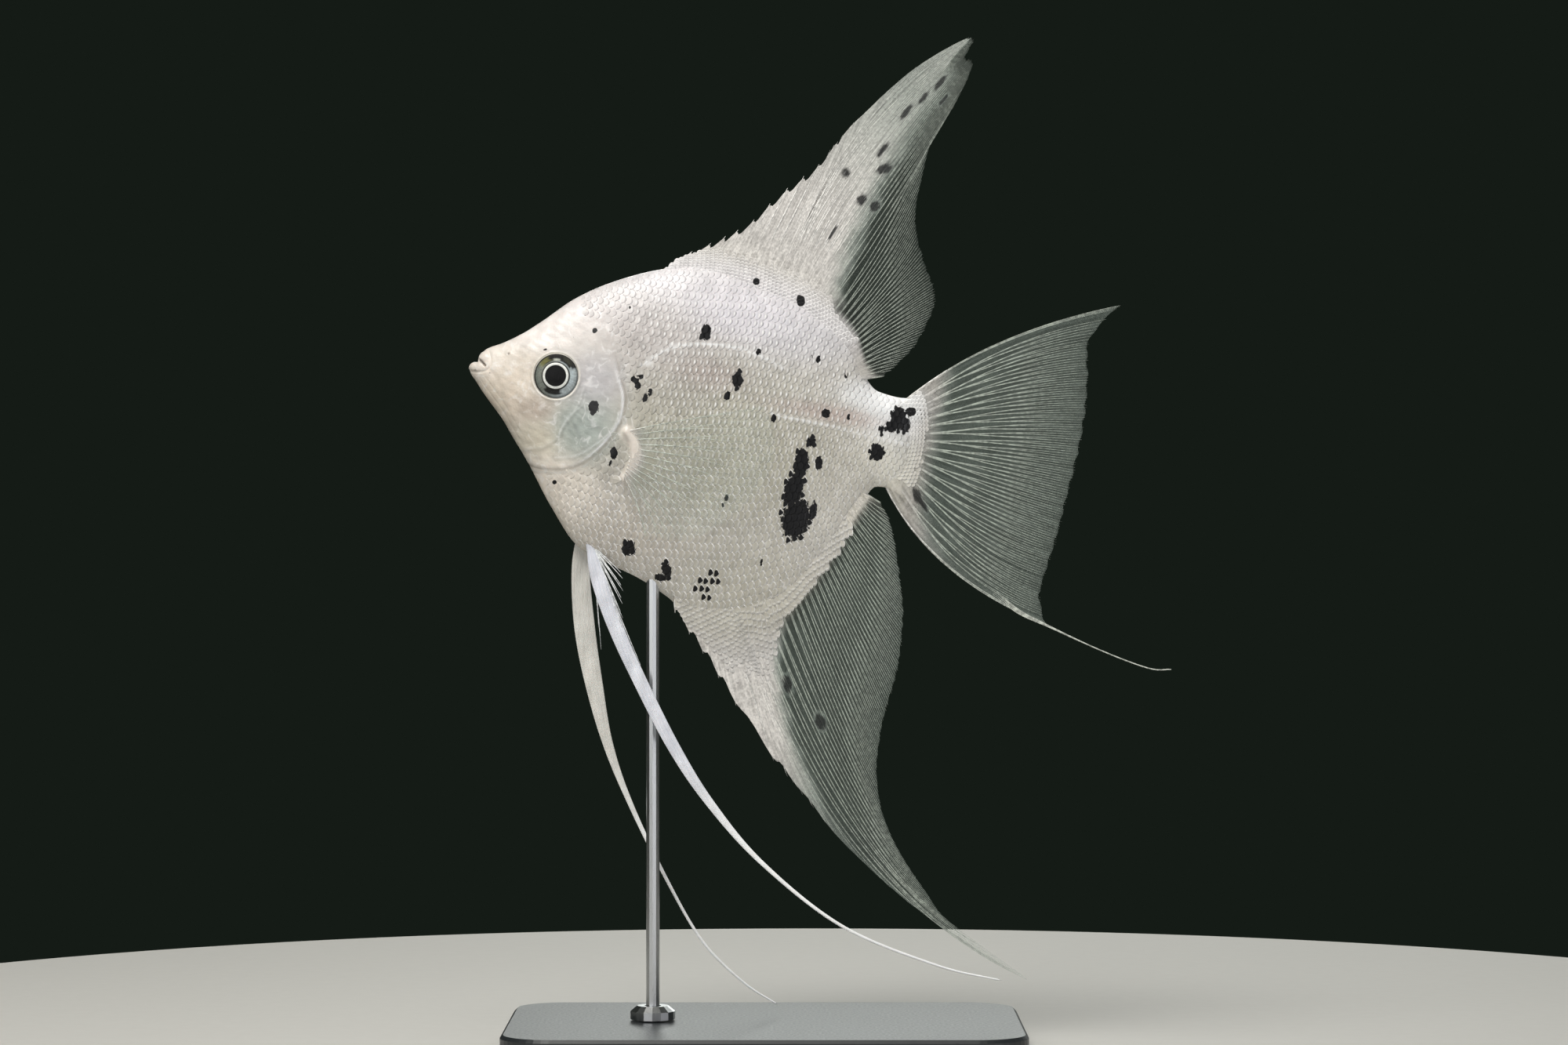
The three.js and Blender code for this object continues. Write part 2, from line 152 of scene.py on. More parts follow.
# A flat grid gives a piece its layout. Its vertices are then moved to their places by how far along (u)
# and across (v) the grid they lie, and edges that meet are merged, so that the skin closes.
def flatGrid(name, columns, rows):
    bpy.ops.mesh.primitive_grid_add(x_subdivisions=columns, y_subdivisions=rows, size=2)
    made = bpy.context.active_object
    made.name = made.data.name = name
    made.data.uv_layers[0].name = "OFBake"
    co = vertexPlaces(made)
    return made, (co[:, 0] + 1) / 2, (co[:, 1] + 1) / 2


def vertexPlaces(made):
    co = np.zeros(len(made.data.vertices) * 3)
    made.data.vertices.foreach_get("co", co)
    return co.reshape(-1, 3)


def placeVertices(made, places):
    made.data.vertices.foreach_set("co", np.asarray(places, float).ravel())
    made.data.update()


def openForEdit(made):  # edit mode with all of one piece selected, and nothing else
    bpy.ops.object.select_all(action="DESELECT")
    bpy.context.view_layer.objects.active = made
    made.select_set(True)
    bpy.ops.object.mode_set(mode="EDIT")
    bpy.ops.mesh.select_all(action="SELECT")


def closeUp(made):  # merge what meets, within 0.002 mm, and turn all faces outwards
    openForEdit(made)
    bpy.ops.mesh.remove_doubles(threshold=2e-6)
    bpy.ops.mesh.normals_make_consistent(inside=False)
    bpy.ops.object.mode_set(mode="OBJECT")
    bpy.ops.object.shade_smooth()
    made.select_set(False)


def fixNormals(made):
    openForEdit(made)
    bpy.ops.mesh.normals_make_consistent(inside=False)
    bpy.ops.object.mode_set(mode="OBJECT")
    made.select_set(False)


def turnOver(made):
    openForEdit(made)
    bpy.ops.mesh.flip_normals()
    bpy.ops.object.mode_set(mode="OBJECT")
    made.select_set(False)


def paint(made, name, values):  # one number or one linear colour for each vertex
    values = np.asarray(values, float)
    if values.ndim == 1:
        made.data.attributes.new(name, "FLOAT", "POINT").data.foreach_set("value", values)
    else:
        colours = np.c_[values, np.ones(len(values))].astype(np.float32)
        made.data.attributes.new(name, "FLOAT_COLOR", "POINT").data.foreach_set("color", colours.ravel())


def painted(made, name):  # the numbers that paint gave
    values = np.zeros(len(made.data.vertices))
    made.data.attributes[name].data.foreach_get("value", values)
    return values


def paintEvenly(made, tint, cover):  # one colour and one cover all over
    count = len(made.data.vertices)
    paint(made, "tone", np.tile(linear(tint), (count, 1)))
    paint(made, "cover", np.full(count, cover))


def paintVectors(made, name, values):
    data = made.data.attributes.new(name, "FLOAT_VECTOR", "POINT").data
    data.foreach_set("vector", np.asarray(values, float).ravel())


# Many copies of one given shape, joined as one piece. places is (copies, vertices, 3).
def sortedFaces(model):  # edit mode leaves faces in an order that changes from run to run
    return sorted((list(face.vertices), face.use_smooth) for face in model.data.polygons)


def joinedCopies(name, model, places, uv):
    faces, smooth = zip(*sortedFaces(model))
    sizes = np.array([len(face) for face in faces])
    corners = np.concatenate(faces)
    copies, perCopy = places.shape[:2]
    allCorners = (corners[None] + perCopy * np.arange(copies)[:, None]).ravel()
    allSizes = np.tile(sizes, copies)
    mesh = bpy.data.meshes.new(name)
    mesh.vertices.add(copies * perCopy)
    mesh.vertices.foreach_set("co", places.ravel())
    mesh.loops.add(len(allCorners))
    mesh.loops.foreach_set("vertex_index", allCorners.astype(np.int32))
    mesh.polygons.add(len(allSizes))
    mesh.polygons.foreach_set("loop_start", np.r_[0, np.cumsum(allSizes)[:-1]].astype(np.int32))
    mesh.polygons.foreach_set("loop_total", allSizes.astype(np.int32))
    mesh.uv_layers.new(name="OFBake").data.foreach_set("uv", uv.reshape(-1, 2)[allCorners].ravel())
    mesh.polygons.foreach_set("use_smooth", np.tile(smooth, copies))
    mesh.update(calc_edges=True)
    mesh.validate()
    made = bpy.data.objects.new(name, mesh)
    bpy.context.scene.collection.objects.link(made)
    return made


def finishPiece(made, material, slot, *nodes):
    made.data.materials.clear()
    made.data.materials.append(material)
    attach(made, "root")
    if nodes:
        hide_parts(*nodes)
    print(made.name, len(made.data.polygons), "faces")


# Body
body = {
    "top": [[-0.1, -0.2], [0.1, 0.3], [0.5, 0.75], [1.2, 0.95], [1.3, 1.0], [1.42, 1.9], [1.75, 2.75],
            [2.3, 3.5], [5, 5.1], [8.1, 7.3], [11.1, 10], [16.3, 15.1], [22.2, 19.1], [30.1, 22.8],
            [38.2, 25.1], [43.3, 24.9], [52.8, 23], [61.9, 19.6], [66.9, 15.5], [69.7, 10.5], [72.6, 8.2],
            [76.4, 7.8], [80, 8.4]],
    "bottom": [[-0.1, -0.5], [0.05, -1.0], [0.5, -1.75], [1.3, -2.55], [3.2, -4.6], [7.5, -8.8], [10, -11.8],
               [12.5, -14.6], [18.6, -22.5], [24.6, -28.6], [31.2, -30.9], [35.8, -32.2], [41.6, -34.6],
               [47.2, -37.7], [53.6, -38], [60.8, -34.6], [68.3, -23.6], [72.9, -12.6], [75, -8.9],
               [77, -8.7], [80, -9.8]],
    "halfWidth": [[-0.1, 0.1], [0.6, 1.1], [2, 2.1], [5, 3.2], [10, 4.6], [15.7, 5.6], [22, 6.4],
                  [28, 6.9], [35, 7], [45, 6.2], [55, 4.9], [65, 3.4], [72, 2.5], [77, 1.9], [80, 0.8]],
    "widestLevel": [[-0.1, -0.35], [3, 0], [16, -1], [32, -3], [50, -1], [66, 0], [80, 0]],
    "keel": [[-0.1, 1], [20, 1.05], [35, 1.2], [50, 1.7], [68, 1.6], [80, 1.1]],
    "coatDepth": 0.14,
    "snout": (-0.05, 0, -0.35),  # where the skin's front end closes: s, y, h
    "stations": 290,
    "around": 340,
}
bodyLine = {key: through(pairs) for key, pairs in body.items() if isinstance(pairs, list)}


def bodyAt(s, angle, grow=0.0):  # angle 0 is the back, a quarter turn the right flank
    level, up, across = bodyLine["widestLevel"](s), np.cos(angle), np.sin(angle)
    reach = np.where(up > 0, bodyLine["top"](s) - level, level - bodyLine["bottom"](s)) + grow
    side = np.sign(across) * np.abs(across) ** bodyLine["keel"](s)
    return np.stack(np.broadcast_arrays(s, (bodyLine["halfWidth"](s) + grow) * side, level + reach * up), -1)


def bodyNormal(s, angle):
    stepBack, stepRound = 0.02, 0.004
    back = bodyAt(s + stepBack, angle) - bodyAt(s - stepBack, angle)
    onward = bodyAt(s, angle + stepRound) - bodyAt(s, angle - stepRound)
    out = np.cross(back, onward)
    out /= np.maximum(np.linalg.norm(out, axis=-1, keepdims=True), 1e-9)
    return out


# Landmarks of the head
gillEdge = lineThrough([[21.5, 12.5], [24.0, 8.6], [25.6, 5.4], [26.6, 2.6], [28.2, -0.9], [28.3, -5.0],
                        [26.8, -8.6], [24.4, -12.0], [21.6, -14.3], [18.6, -15.3], [15.2, -15.6],
                        [12.0, -14.9]])
gillCover = np.vstack([gillEdge, [[9, -11], [9, 2], [17, 9]]])
cheekPlate = lineThrough([[20.9, -0.4], [20.6, -2.7], [19.9, -5.2], [18.4, -8.0], [17.6, -10.2],
                          [15.2, -12.2], [12.4, -12.9]])
innerRim = lineThrough([[27.9, -3.6], [27.6, -5.8], [26.4, -8.2], [24.6, -10.2], [21.7, -12.6],
                        [18.0, -13.6]])
cheekArc = lineThrough([[21.4, -1.5], [21.2, -3.5], [19.3, -5.8], [18.3, -8.1], [18.1, -10], [18.5, -12]])
eyeSize = {"s": 15.7, "h": 0.7, "rim": 5.2, "radius": 4.06, "tilt": 0.12, "cornea": 3.98}
nostril = {"s": 6.55, "h": 3.15, "rim": 0.45, "hole": 0.16}
mouthLine = lineThrough([[1.1, 1.2], [1.65, 1.14], [2.3, 0.75], [2.9, 0.2]])
lipCrease = lineThrough([[0.5, -1.0], [1.8, -0.9], [3.0, -0.5], [3.7, 0.6], [3.5, 1.9], [2.9, 3.1]])
cheekFold = lineThrough([[3.6, -0.2], [5.2, -1.6], [6.3, -3.4], [6.6, -5.2]])
napePoints = np.array([[16.5, 15.5], [18.5, 13], [21.5, 11.5], [24.2, 9.5], [26.3, 5.0]])
napeLine = lineThrough(napePoints)
finBase = lineThrough([[29.9, -6.7], [32.4, -8.4], [33.3, -11.2], [32.9, -13.4], [31.6, -15.3]])
padLine = lineThrough([[29.8, -6.9], [31.5, -8.8], [32.2, -11.2], [31.8, -13.4], [30.9, -15.2]])
lateralLines = [lineThrough([[30.4, 5.2], [34.3, 8.7], [39.4, 10.6], [44.3, 11.2], [48.6, 10.9],
                             [52.3, 10.1], [55.3, 9.0]]),
                lineThrough([[54.5, 0.8], [58.2, 0.6], [63.2, 0.5], [66.8, 0.3], [70.4, 0], [76.5, -0.2],
                             [79.5, -0.35]])]

# Black spots: s, h, half length, half height and tilt. Scattered ones are patches of single black scales.
spotsLeft = [
    [21.0, 9.8, .55, .55, 0], [26.4, 15.0, .33, .33, 0], [17.6, 8.0, .13, .13, 0], [18.3, 8.1, .12, .12, 0],
    [12.9, 5.0, .45, .2, 20], [23.3, -3.7, .95, 1.45, 0], [29.6, 2.5, .75, .7, 0], [30.3, 1.5, .6, .85, 0],
    [30.6, 3.2, .5, .6, 0], [32.0, -.4, .5, .9, 0], [32.7, .7, .4, .8, 0], [28.2, -11.0, .75, 1.3, 10],
    [27.9, -12.9, .25, .7, 0], [18.6, -17.9, .42, .42, 0], [47.7, 23.6, .75, .7, 0],
    [56.1, 21.6, .9, 1.25, 20], [40.5, 13.1, 1.05, 1.7, 0], [50.3, 11.15, .5, .7, 0],
    [61.0, 11.8, .45, .8, 0], [59.8, 12.1, .2, .35, 0], [66.4, 9.9, .35, .65, 0],
    [47.5, 5.6, 1.15, 1.6, 15], [46.3, 2.5, .6, 1.0, 0], [55.05, 0, .5, .85, 0], [64.0, 2.5, .85, .85, 0],
    [68.1, 2.6, .35, .65, 0], [76.9, 3.9, 1.7, 2.5, 0], [78.9, 5.5, 1.1, .95, 20],
    [78.3, 3.0, 1.1, 1.6, 0], [75.9, 2.3, 1.1, 1.2, 0], [74.4, 1.45, .4, 1.0, 0],
    [74.2, -2.6, 1.5, 1.7, 0], [62.1, -16.9, 2.8, 4.1, 0], [60.7, -11.9, 2.0, 3.5, -8],
    [61.2, -7.1, 1.5, 3.3, 0], [62.3, -2.9, .95, 1.1, 30], [64.3, -6.4, .75, 1.6, 0],
    [64.8, -15.0, .75, 2.1, 0], [57.3, -25.5, .33, 1.0, 0], [49.2, -15.3, .4, .75, 0],
    [48.8, -16.75, .28, .5, 20], [33.6, -27.3, 1.45, 1.7, 10], [40.9, -29.9, 1.0, 1.7, 30],
    [40.1, -31.4, 1.2, .8, 0],
]
scatteredLeft = [[48.4, -31.6, 1.9, 3.6, -31]]
spotsRight = [
    [76.6, 2.9, 2.1, 2.8, 10], [73.2, -3.4, 1.2, 1.4, 0], [57.8, -9.4, 2.3, 3.6, 12],
    [59.4, -14.0, 1.7, 2.7, 0], [56.2, -5.3, 1.0, 1.6, 0], [22.6, -5.4, .8, 1.2, 0],
    [43.1, 14.2, 1.2, 1.5, 0], [36.3, -27.0, 1.3, 1.5, 20], [52.5, 20.4, .9, .9, 0],
]
scatteredRight = [[46.5, -26.5, 1.5, 2.8, -35]]
noSpot = -9.0  # a depth that is far outside every spot


def smallSpotsRight(tries=22):  # strewn over the flank, where they keep clear of back and belly
    luck = np.random.default_rng(5)
    spots = []
    for _ in range(tries):
        s, h = luck.uniform(20, 71), luck.uniform(-30, 20)
        if bodyLine["bottom"](s) + 3 < h < bodyLine["top"](s) - 2:
            size = luck.uniform(.3, .95)
            spots.append([s, h, size, size * luck.uniform(1, 1.7), luck.uniform(-20, 20)])
    return spots


sideSpots = {-1: (spotsLeft, scatteredLeft), 1: (spotsRight + smallSpotsRight(), scatteredRight)}


def depthInSpots(spots, s, h):  # 1 at a spot's middle, 0 at its edge, below 0 outside it
    deepest = np.full(np.broadcast(s, h).shape, noSpot)
    for spotS, spotH, halfLength, halfHeight, tilt in spots:
        c, k = math.cos(math.radians(tilt)), math.sin(math.radians(tilt))
        a, b = (s - spotS) * c + (h - spotH) * k, (h - spotH) * c - (s - spotS) * k
        deepest = np.maximum(deepest, 1 - np.hypot(a / halfLength, b / halfHeight))
    return deepest


# Colours of the skin: a ground tint with soft patches over it: s, h, half length, half height, strength. Some
# patches hold painted highlight and painted shade, as marked.
skinTints = {
    "ground": "#C7C2B9",
    "patches": [
        # the forehead patch is its pale tint with a painted highlight in it
        [9, 9, 9, 3.5, 1.6, "#F6EEEA"], [3, 2, 3.5, 2.5, 1.5, "#EFE6DD"], [20, 15, 9, 4, 1.5, "#E5DEDE"],
        [8, -2.5, 5, 5, 1.5, "#EADCCB"], [6, -6, 3, 4, 1.0, "#DDCFBC"],
        # painted shade under the eye
        [12.4, -5.6, 2.8, 1.6, 2.0, "#B4A597"],
        [23, -7.2, 4, 4, 2.4, "#A0AAA5"], [19.8, -8.5, 2.6, 3.2, 1.2, "#A3ADA5"],
        [23, 1, 4, 4, 1.5, "#BFBCC0"], [14.5, -10.8, 3.5, 2.6, 1.4, "#DCD3BF"],
        # the first patch here, along the upper back, and the white one on the tail stalk's top edge are pale
        # tint with painted highlight
        [37, 21, 15, 4, 1.6, "#E9E4E8"], [58, 16, 8, 4, 1.4, "#D2CFD3"], [74, 7, 5, 2, 3.2, "#FFFFFF"],
        [32, 11, 8, 5, 1.2, "#C3BBB9"], [42, 5.5, 5, 2.2, 1.3, "#AFA09A"], [38, 1, 6, 4, 0.8, "#B3ADA4"],
        # the last patch here, high on the flank, is pale tint with painted highlight
        [66, 2.6, 9, 1.2, 1.3, "#C6B4AC"], [46, -8, 14, 9, 1.6, "#B7B39F"], [47, 17.5, 9, 4, 1.6, "#F0EBF3"],
        [66, -8, 6, 6, 1.1, "#B4AFA0"], [32, -24, 10, 5, 1.2, "#CDC3B5"],
        [20, -20, 6, 4, 2.1, "#F1E7DA"], [54, -31, 9, 6, 1.3, "#BFBAAA"], [30, -14, 3, 8, 0.7, "#B9B3AB"],
        [77, -5, 5, 4, 2.2, "#E3DFD2"], [68, -12, 5, 7, 1.3, "#D8D3C8"], [58, -27, 7, 6, 0.9, "#D0CBBD"],
        [76, 4, 4, 4, 1.6, "#EDEEF0"], [18, -18, 4, 3.5, 1.6, "#EFE5D8"],
    ],
    "ink": "#060609",
}


def skinTone(s, h):
    total = np.ones(s.shape)
    colour = np.zeros((*s.shape, 3)) + linear(skinTints["ground"])
    for patchS, patchH, halfLength, halfHeight, strength, tint in skinTints["patches"]:
        weight = strength * 2.5 * bell(s - patchS, halfLength) * bell(h - patchH, halfHeight)
        colour += weight[..., None] * linear(tint)
        total += weight
    return colour / total[..., None]


# Relief of the head in millimetres. A ridge has its line, how far beside it it runs, its breadth and height.
headRidges = [
    [cheekPlate, 0, 0.4, 0.05], [cheekPlate, 0.8, 0.35, -0.04], [innerRim, 0, 0.3, 0.02],
    [cheekArc, 0, 0.3, 0.02],
]
gillRelief = {"bone": 0.14, "boneReach": 2.2, "softEdge": 0.07, "groove": 0.05, "grooveAt": 1.15}
lipRelief = {
    "slit": 0.75, "slitBreadth": 0.16, "crease": 0.12, "creaseBreadth": 0.22,
    "upper": [1.9, 2.0, 1.1, 0.75, 0.22], "lower": [0.9, -0.1, 1.3, 0.8, 0.2],  # s, h, half sizes, height
}
chinGrooves = [[1.5, 0.2, 0.045], [2.9, 0.25, 0.03]]  # how far above the jaw's edge, breadth, depth
eyeRelief = {"depth": 1.3, "lid": 0.16, "brow": 0.12}
padRelief = {"height": 0.7, "breadth": 0.5, "middleBreadth": 0.75}


def gillDepth(s, h):  # below 0 under the gill cover, above 0 behind it
    away = gapTo(gillEdge, s, h)
    return np.where(inside(gillCover, s, h), -away, away)


def gillHeight(s, h):  # the bony cover, its soft edge behind it, and the groove that they close on
    behind = gillDepth(s, h)
    rise = gillRelief["bone"] * np.exp(np.minimum(behind, 0) / gillRelief["boneReach"])
    rise *= 1 - ramp(-0.08, 0.14, behind)
    rise += gillRelief["softEdge"] * (1 - ramp(0.8, 1.0, behind)) * ramp(-4, 0, behind)
    rise -= gillRelief["groove"] * bell(behind - gillRelief["grooveAt"], 0.25)
    for line, beside, breadth, height in headRidges:
        rise += height * bell(gapTo(line, s, h) - beside, breadth)
    return rise * ramp(11, 6, h)


def lipHeight(s, h):
    slit, along = distanceTo(mouthLine, s, h)
    rise = -lipRelief["slit"] * bell(slit, lipRelief["slitBreadth"]) * (1 - ramp(0.85, 1, along))
    for lip in ("upper", "lower"):
        lipS, lipH, halfLength, halfHeight, height = lipRelief[lip]
        rise += height * mound(np.hypot((s - lipS) / halfLength, (h - lipH) / halfHeight), 1)
    rise -= lipRelief["crease"] * bell(gapTo(lipCrease, s, h), lipRelief["creaseBreadth"])
    return rise * ramp(5, 4, s)


def jawHeight(s, h):
    above = h - bodyLine["bottom"](s)
    grooves = sum(depth * bell(above - at, breadth) for at, breadth, depth in chinGrooves)
    return -grooves * ramp(1.5, 4, s) * ramp(14, 10.5, s)


def eyeHeight(s, h):  # the socket, the lid round it, and the brow above
    away = np.hypot(s - eyeSize["s"], h - eyeSize["h"]) - eyeSize["radius"]
    rise = -eyeRelief["depth"] * ramp(0.02, -0.5, away) + eyeRelief["lid"] * bell(away - 0.18, 0.2)
    return rise + eyeRelief["brow"] * bell(away - 1.3, 1.0) * ramp(-1, 3, h)


def cheekHeight(s, h):
    away = np.hypot(s - nostril["s"], h - nostril["h"])
    rise = 0.07 * bell(away, nostril["rim"]) - 0.25 * bell(away, nostril["hole"])
    rise -= 0.07 * bell(gapTo(cheekFold, s, h), 0.45)
    return rise + 0.05 * wobble(s, h, 2.2, 3) * ramp(3, 8, s)


def padHeight(s, h):  # the fleshy foot of the pectoral fin
    away, along = distanceTo(padLine, s, h)
    swell = np.sin(np.pi * np.clip(along, 0.05, 0.95))
    return padRelief["height"] * mound(away, padRelief["breadth"] + padRelief["middleBreadth"] * swell)


def skinRelief(s, h):
    relief = np.zeros(s.shape)
    head = s < 36
    a, b = s[head], h[head]
    for height in (gillHeight, lipHeight, jawHeight, eyeHeight, cheekHeight, padHeight):
        relief[head] += height(a, b)
    relief += 0.1 * wobble(s, h, 14, 8) * ramp(30, 40, s)
    for line in lateralLines:
        relief += 0.03 * bell(gapTo(line, s, h), 0.3)
    return relief


bodyStart, bodyEnd = body["top"][0][0], body["top"][-1][0]


def skinStations(u):  # close together at the lips and over the head, wider apart behind it
    return through([[0, bodyStart], [0.02, 0], [0.15, 3.2], [0.7, 32], [1, bodyEnd]])(u)


def skinAngles(v):  # closer together on the flanks than on the narrow back and belly
    return 2 * np.pi * v + 0.17 * np.sin(4 * np.pi * v)


def offRidge(angle):  # 0 on the ridges of back and belly, which keep their place, and 1 on the flanks
    return ramp(0.02, 0.25, np.abs(np.sin(angle)))


skin, u, v = flatGrid("skin", body["stations"], body["around"])
s, angle = skinStations(u), skinAngles(v)
base = bodyAt(s, angle, -body["coatDepth"])
lift = skinRelief(base[:, 0], base[:, 2]) * offRidge(angle)
places = base + bodyNormal(s, angle) * lift[:, None]
front, back = s < bodyStart + 0.001, s > bodyEnd - 0.01
places[back, 1] = 0
places[front] = body["snout"]
placeVertices(skin, toWorld(*places.T))
closeUp(skin)


# Painted highlights along the ridges of the gill cover: line, breadth, strength. Each has a painted shade
# line beside it.
glints = [[innerRim, 0.15, 0.34], [cheekArc, 0.14, 0.2], [cheekPlate, 0.15, 0.16]]
# painted shade in the nostril and in two pores by the lips
poreShade = [  # s, h, size, strength
    [nostril["s"], nostril["h"], 0.15, 0.85], [1.1, -0.66, 0.2, 0.5], [3.83, -0.75, 0.13, 0.6],
]


def paintGill(tone, s, h):
    behind = gillDepth(s, h)
    # painted highlight along the edge of the gill cover
    tone = tinted(tone, "#FDFDFF", 0.8 * bell(behind + 0.12, 0.2) * ramp(-16.5, -9, h) * ramp(6, -1, h))
    for line, breadth, strength in glints:
        away = gapTo(line, s, h)
        # painted shade beside each ridge, then its painted highlight
        tone = tinted(tone, "#8F908A", 0.5 * strength * bell(away - 0.42, 0.2))
        tone = tinted(tone, "#F6F8F8", strength * bell(away, breadth))
    # painted shade just behind the gill cover's edge
    tone = tinted(tone, "#8E857C", 0.5 * bell(behind - 0.35, 0.22) * ramp(8, 3, h))
    tone = tinted(tone, "#EEF0EE", 0.45 * bell(behind - 0.95, 0.18) * ramp(2, -3, h))
    fanS, fanH = s - 17, h + 3  # faint streaks fan out over the cover from here
    streaks = wobble(np.arctan2(fanH, fanS) * 8, np.hypot(fanS, fanH) * 0.25, 1.4, 4)
    onCover = bell(s - 23, 4.5) * bell(h + 6, 5) * (behind < 0)
    return tone * (1 + 0.16 * streaks * onCover)[:, None]


def paintSkin(made):
    s, y, h = fromWorld(vertexPlaces(made))
    tone = paintGill(skinTone(s, h), s, h)
    tone = tinted(tone, "#E9E0D6", 0.85 * mound(gapTo(padLine, s, h), 1.3))
    for line in lateralLines:
        tone = tinted(tone, "#E9E4DC", 0.5 * bell(gapTo(line, s, h), 0.2))
    # painted shade in the mouth slit
    slit, along = distanceTo(mouthLine, s, h)
    tone = tinted(tone, "#6E5F55", 0.8 * bell(slit, 0.15) * (1 - ramp(0.9, 1, along)))
    # painted shade in the nostril and the pores
    for poreS, poreH, size, strength in poreShade:
        tone = tinted(tone, "#3A3433", strength * bell(np.hypot(s - poreS, h - poreH), size))
    eyeAway = np.hypot(s - eyeSize["s"], h - eyeSize["h"]) - eyeSize["radius"]
    tone = tinted(tone, "#F3EEE2", 0.8 * bell(eyeAway - 0.12, 0.16))
    # painted shade in the socket round the eye ball
    tone = tinted(tone, "#5A5148", 0.7 * ramp(-0.05, -0.4, eyeAway))
    tone = tone * (1 + 0.035 * wobble(s, h, 1.6, 6) + 0.03 * wobble(s, h, 5, 7))[:, None]
    left, right = [depthInSpots(sideSpots[side][0], s, h) for side in (-1, 1)]
    depth = np.where(y < 0, left, right)
    paint(made, "tone", tone)
    paint(made, "solid", depth + 0.14 * wobble(s, h, 0.9, 11) - 0.05)


paintSkin(skin)
print("skin shaped")


# Materials. addNode adds one node with its settings. Each of its inputs is a plain value, another node's
# output, or another node, which then gives its first output.
def addNode(tree, kind, inputs=None, **settings):
    node = tree.nodes.new("ShaderNode" + kind)
    for key, value in settings.items():
        setattr(node, key, value)
    for key, value in (inputs or {}).items():
        if isinstance(value, bpy.types.Node):
            value = value.outputs[0]
        if isinstance(value, bpy.types.NodeSocket):
            tree.links.new(value, node.inputs[key])
        else:
            node.inputs[key].default_value = value
    return node


def newMaterial(name):
    material = bpy.data.materials.new(name)
    material.use_nodes = True
    material.node_tree.nodes.clear()
    return material, material.node_tree


# Real sizes of the patterns, in millimetres. The grain of skin and scales is drawn coarse enough to show.
grainSize = {"skinGrain": 0.45, "bladeGrain": 0.3, "scaleGrain": 0.25, "mottle": 2.4, "veins": 3.2,
             "wrinkles": 1.1, "inkEdge": 0.6, "scaleInkEdge": 0.5, "finGrain": 0.4, "rayBeads": 0.7,
             "irisFibres": 0.3, "acrylicCloud": 18, "acrylicDust": 0.5, "drawnLines": 0.15, "boardFleck": 3}


def perMetre(pattern):  # its scale on Object coordinates, which are in metres
    return 1000 / grainSize[pattern]


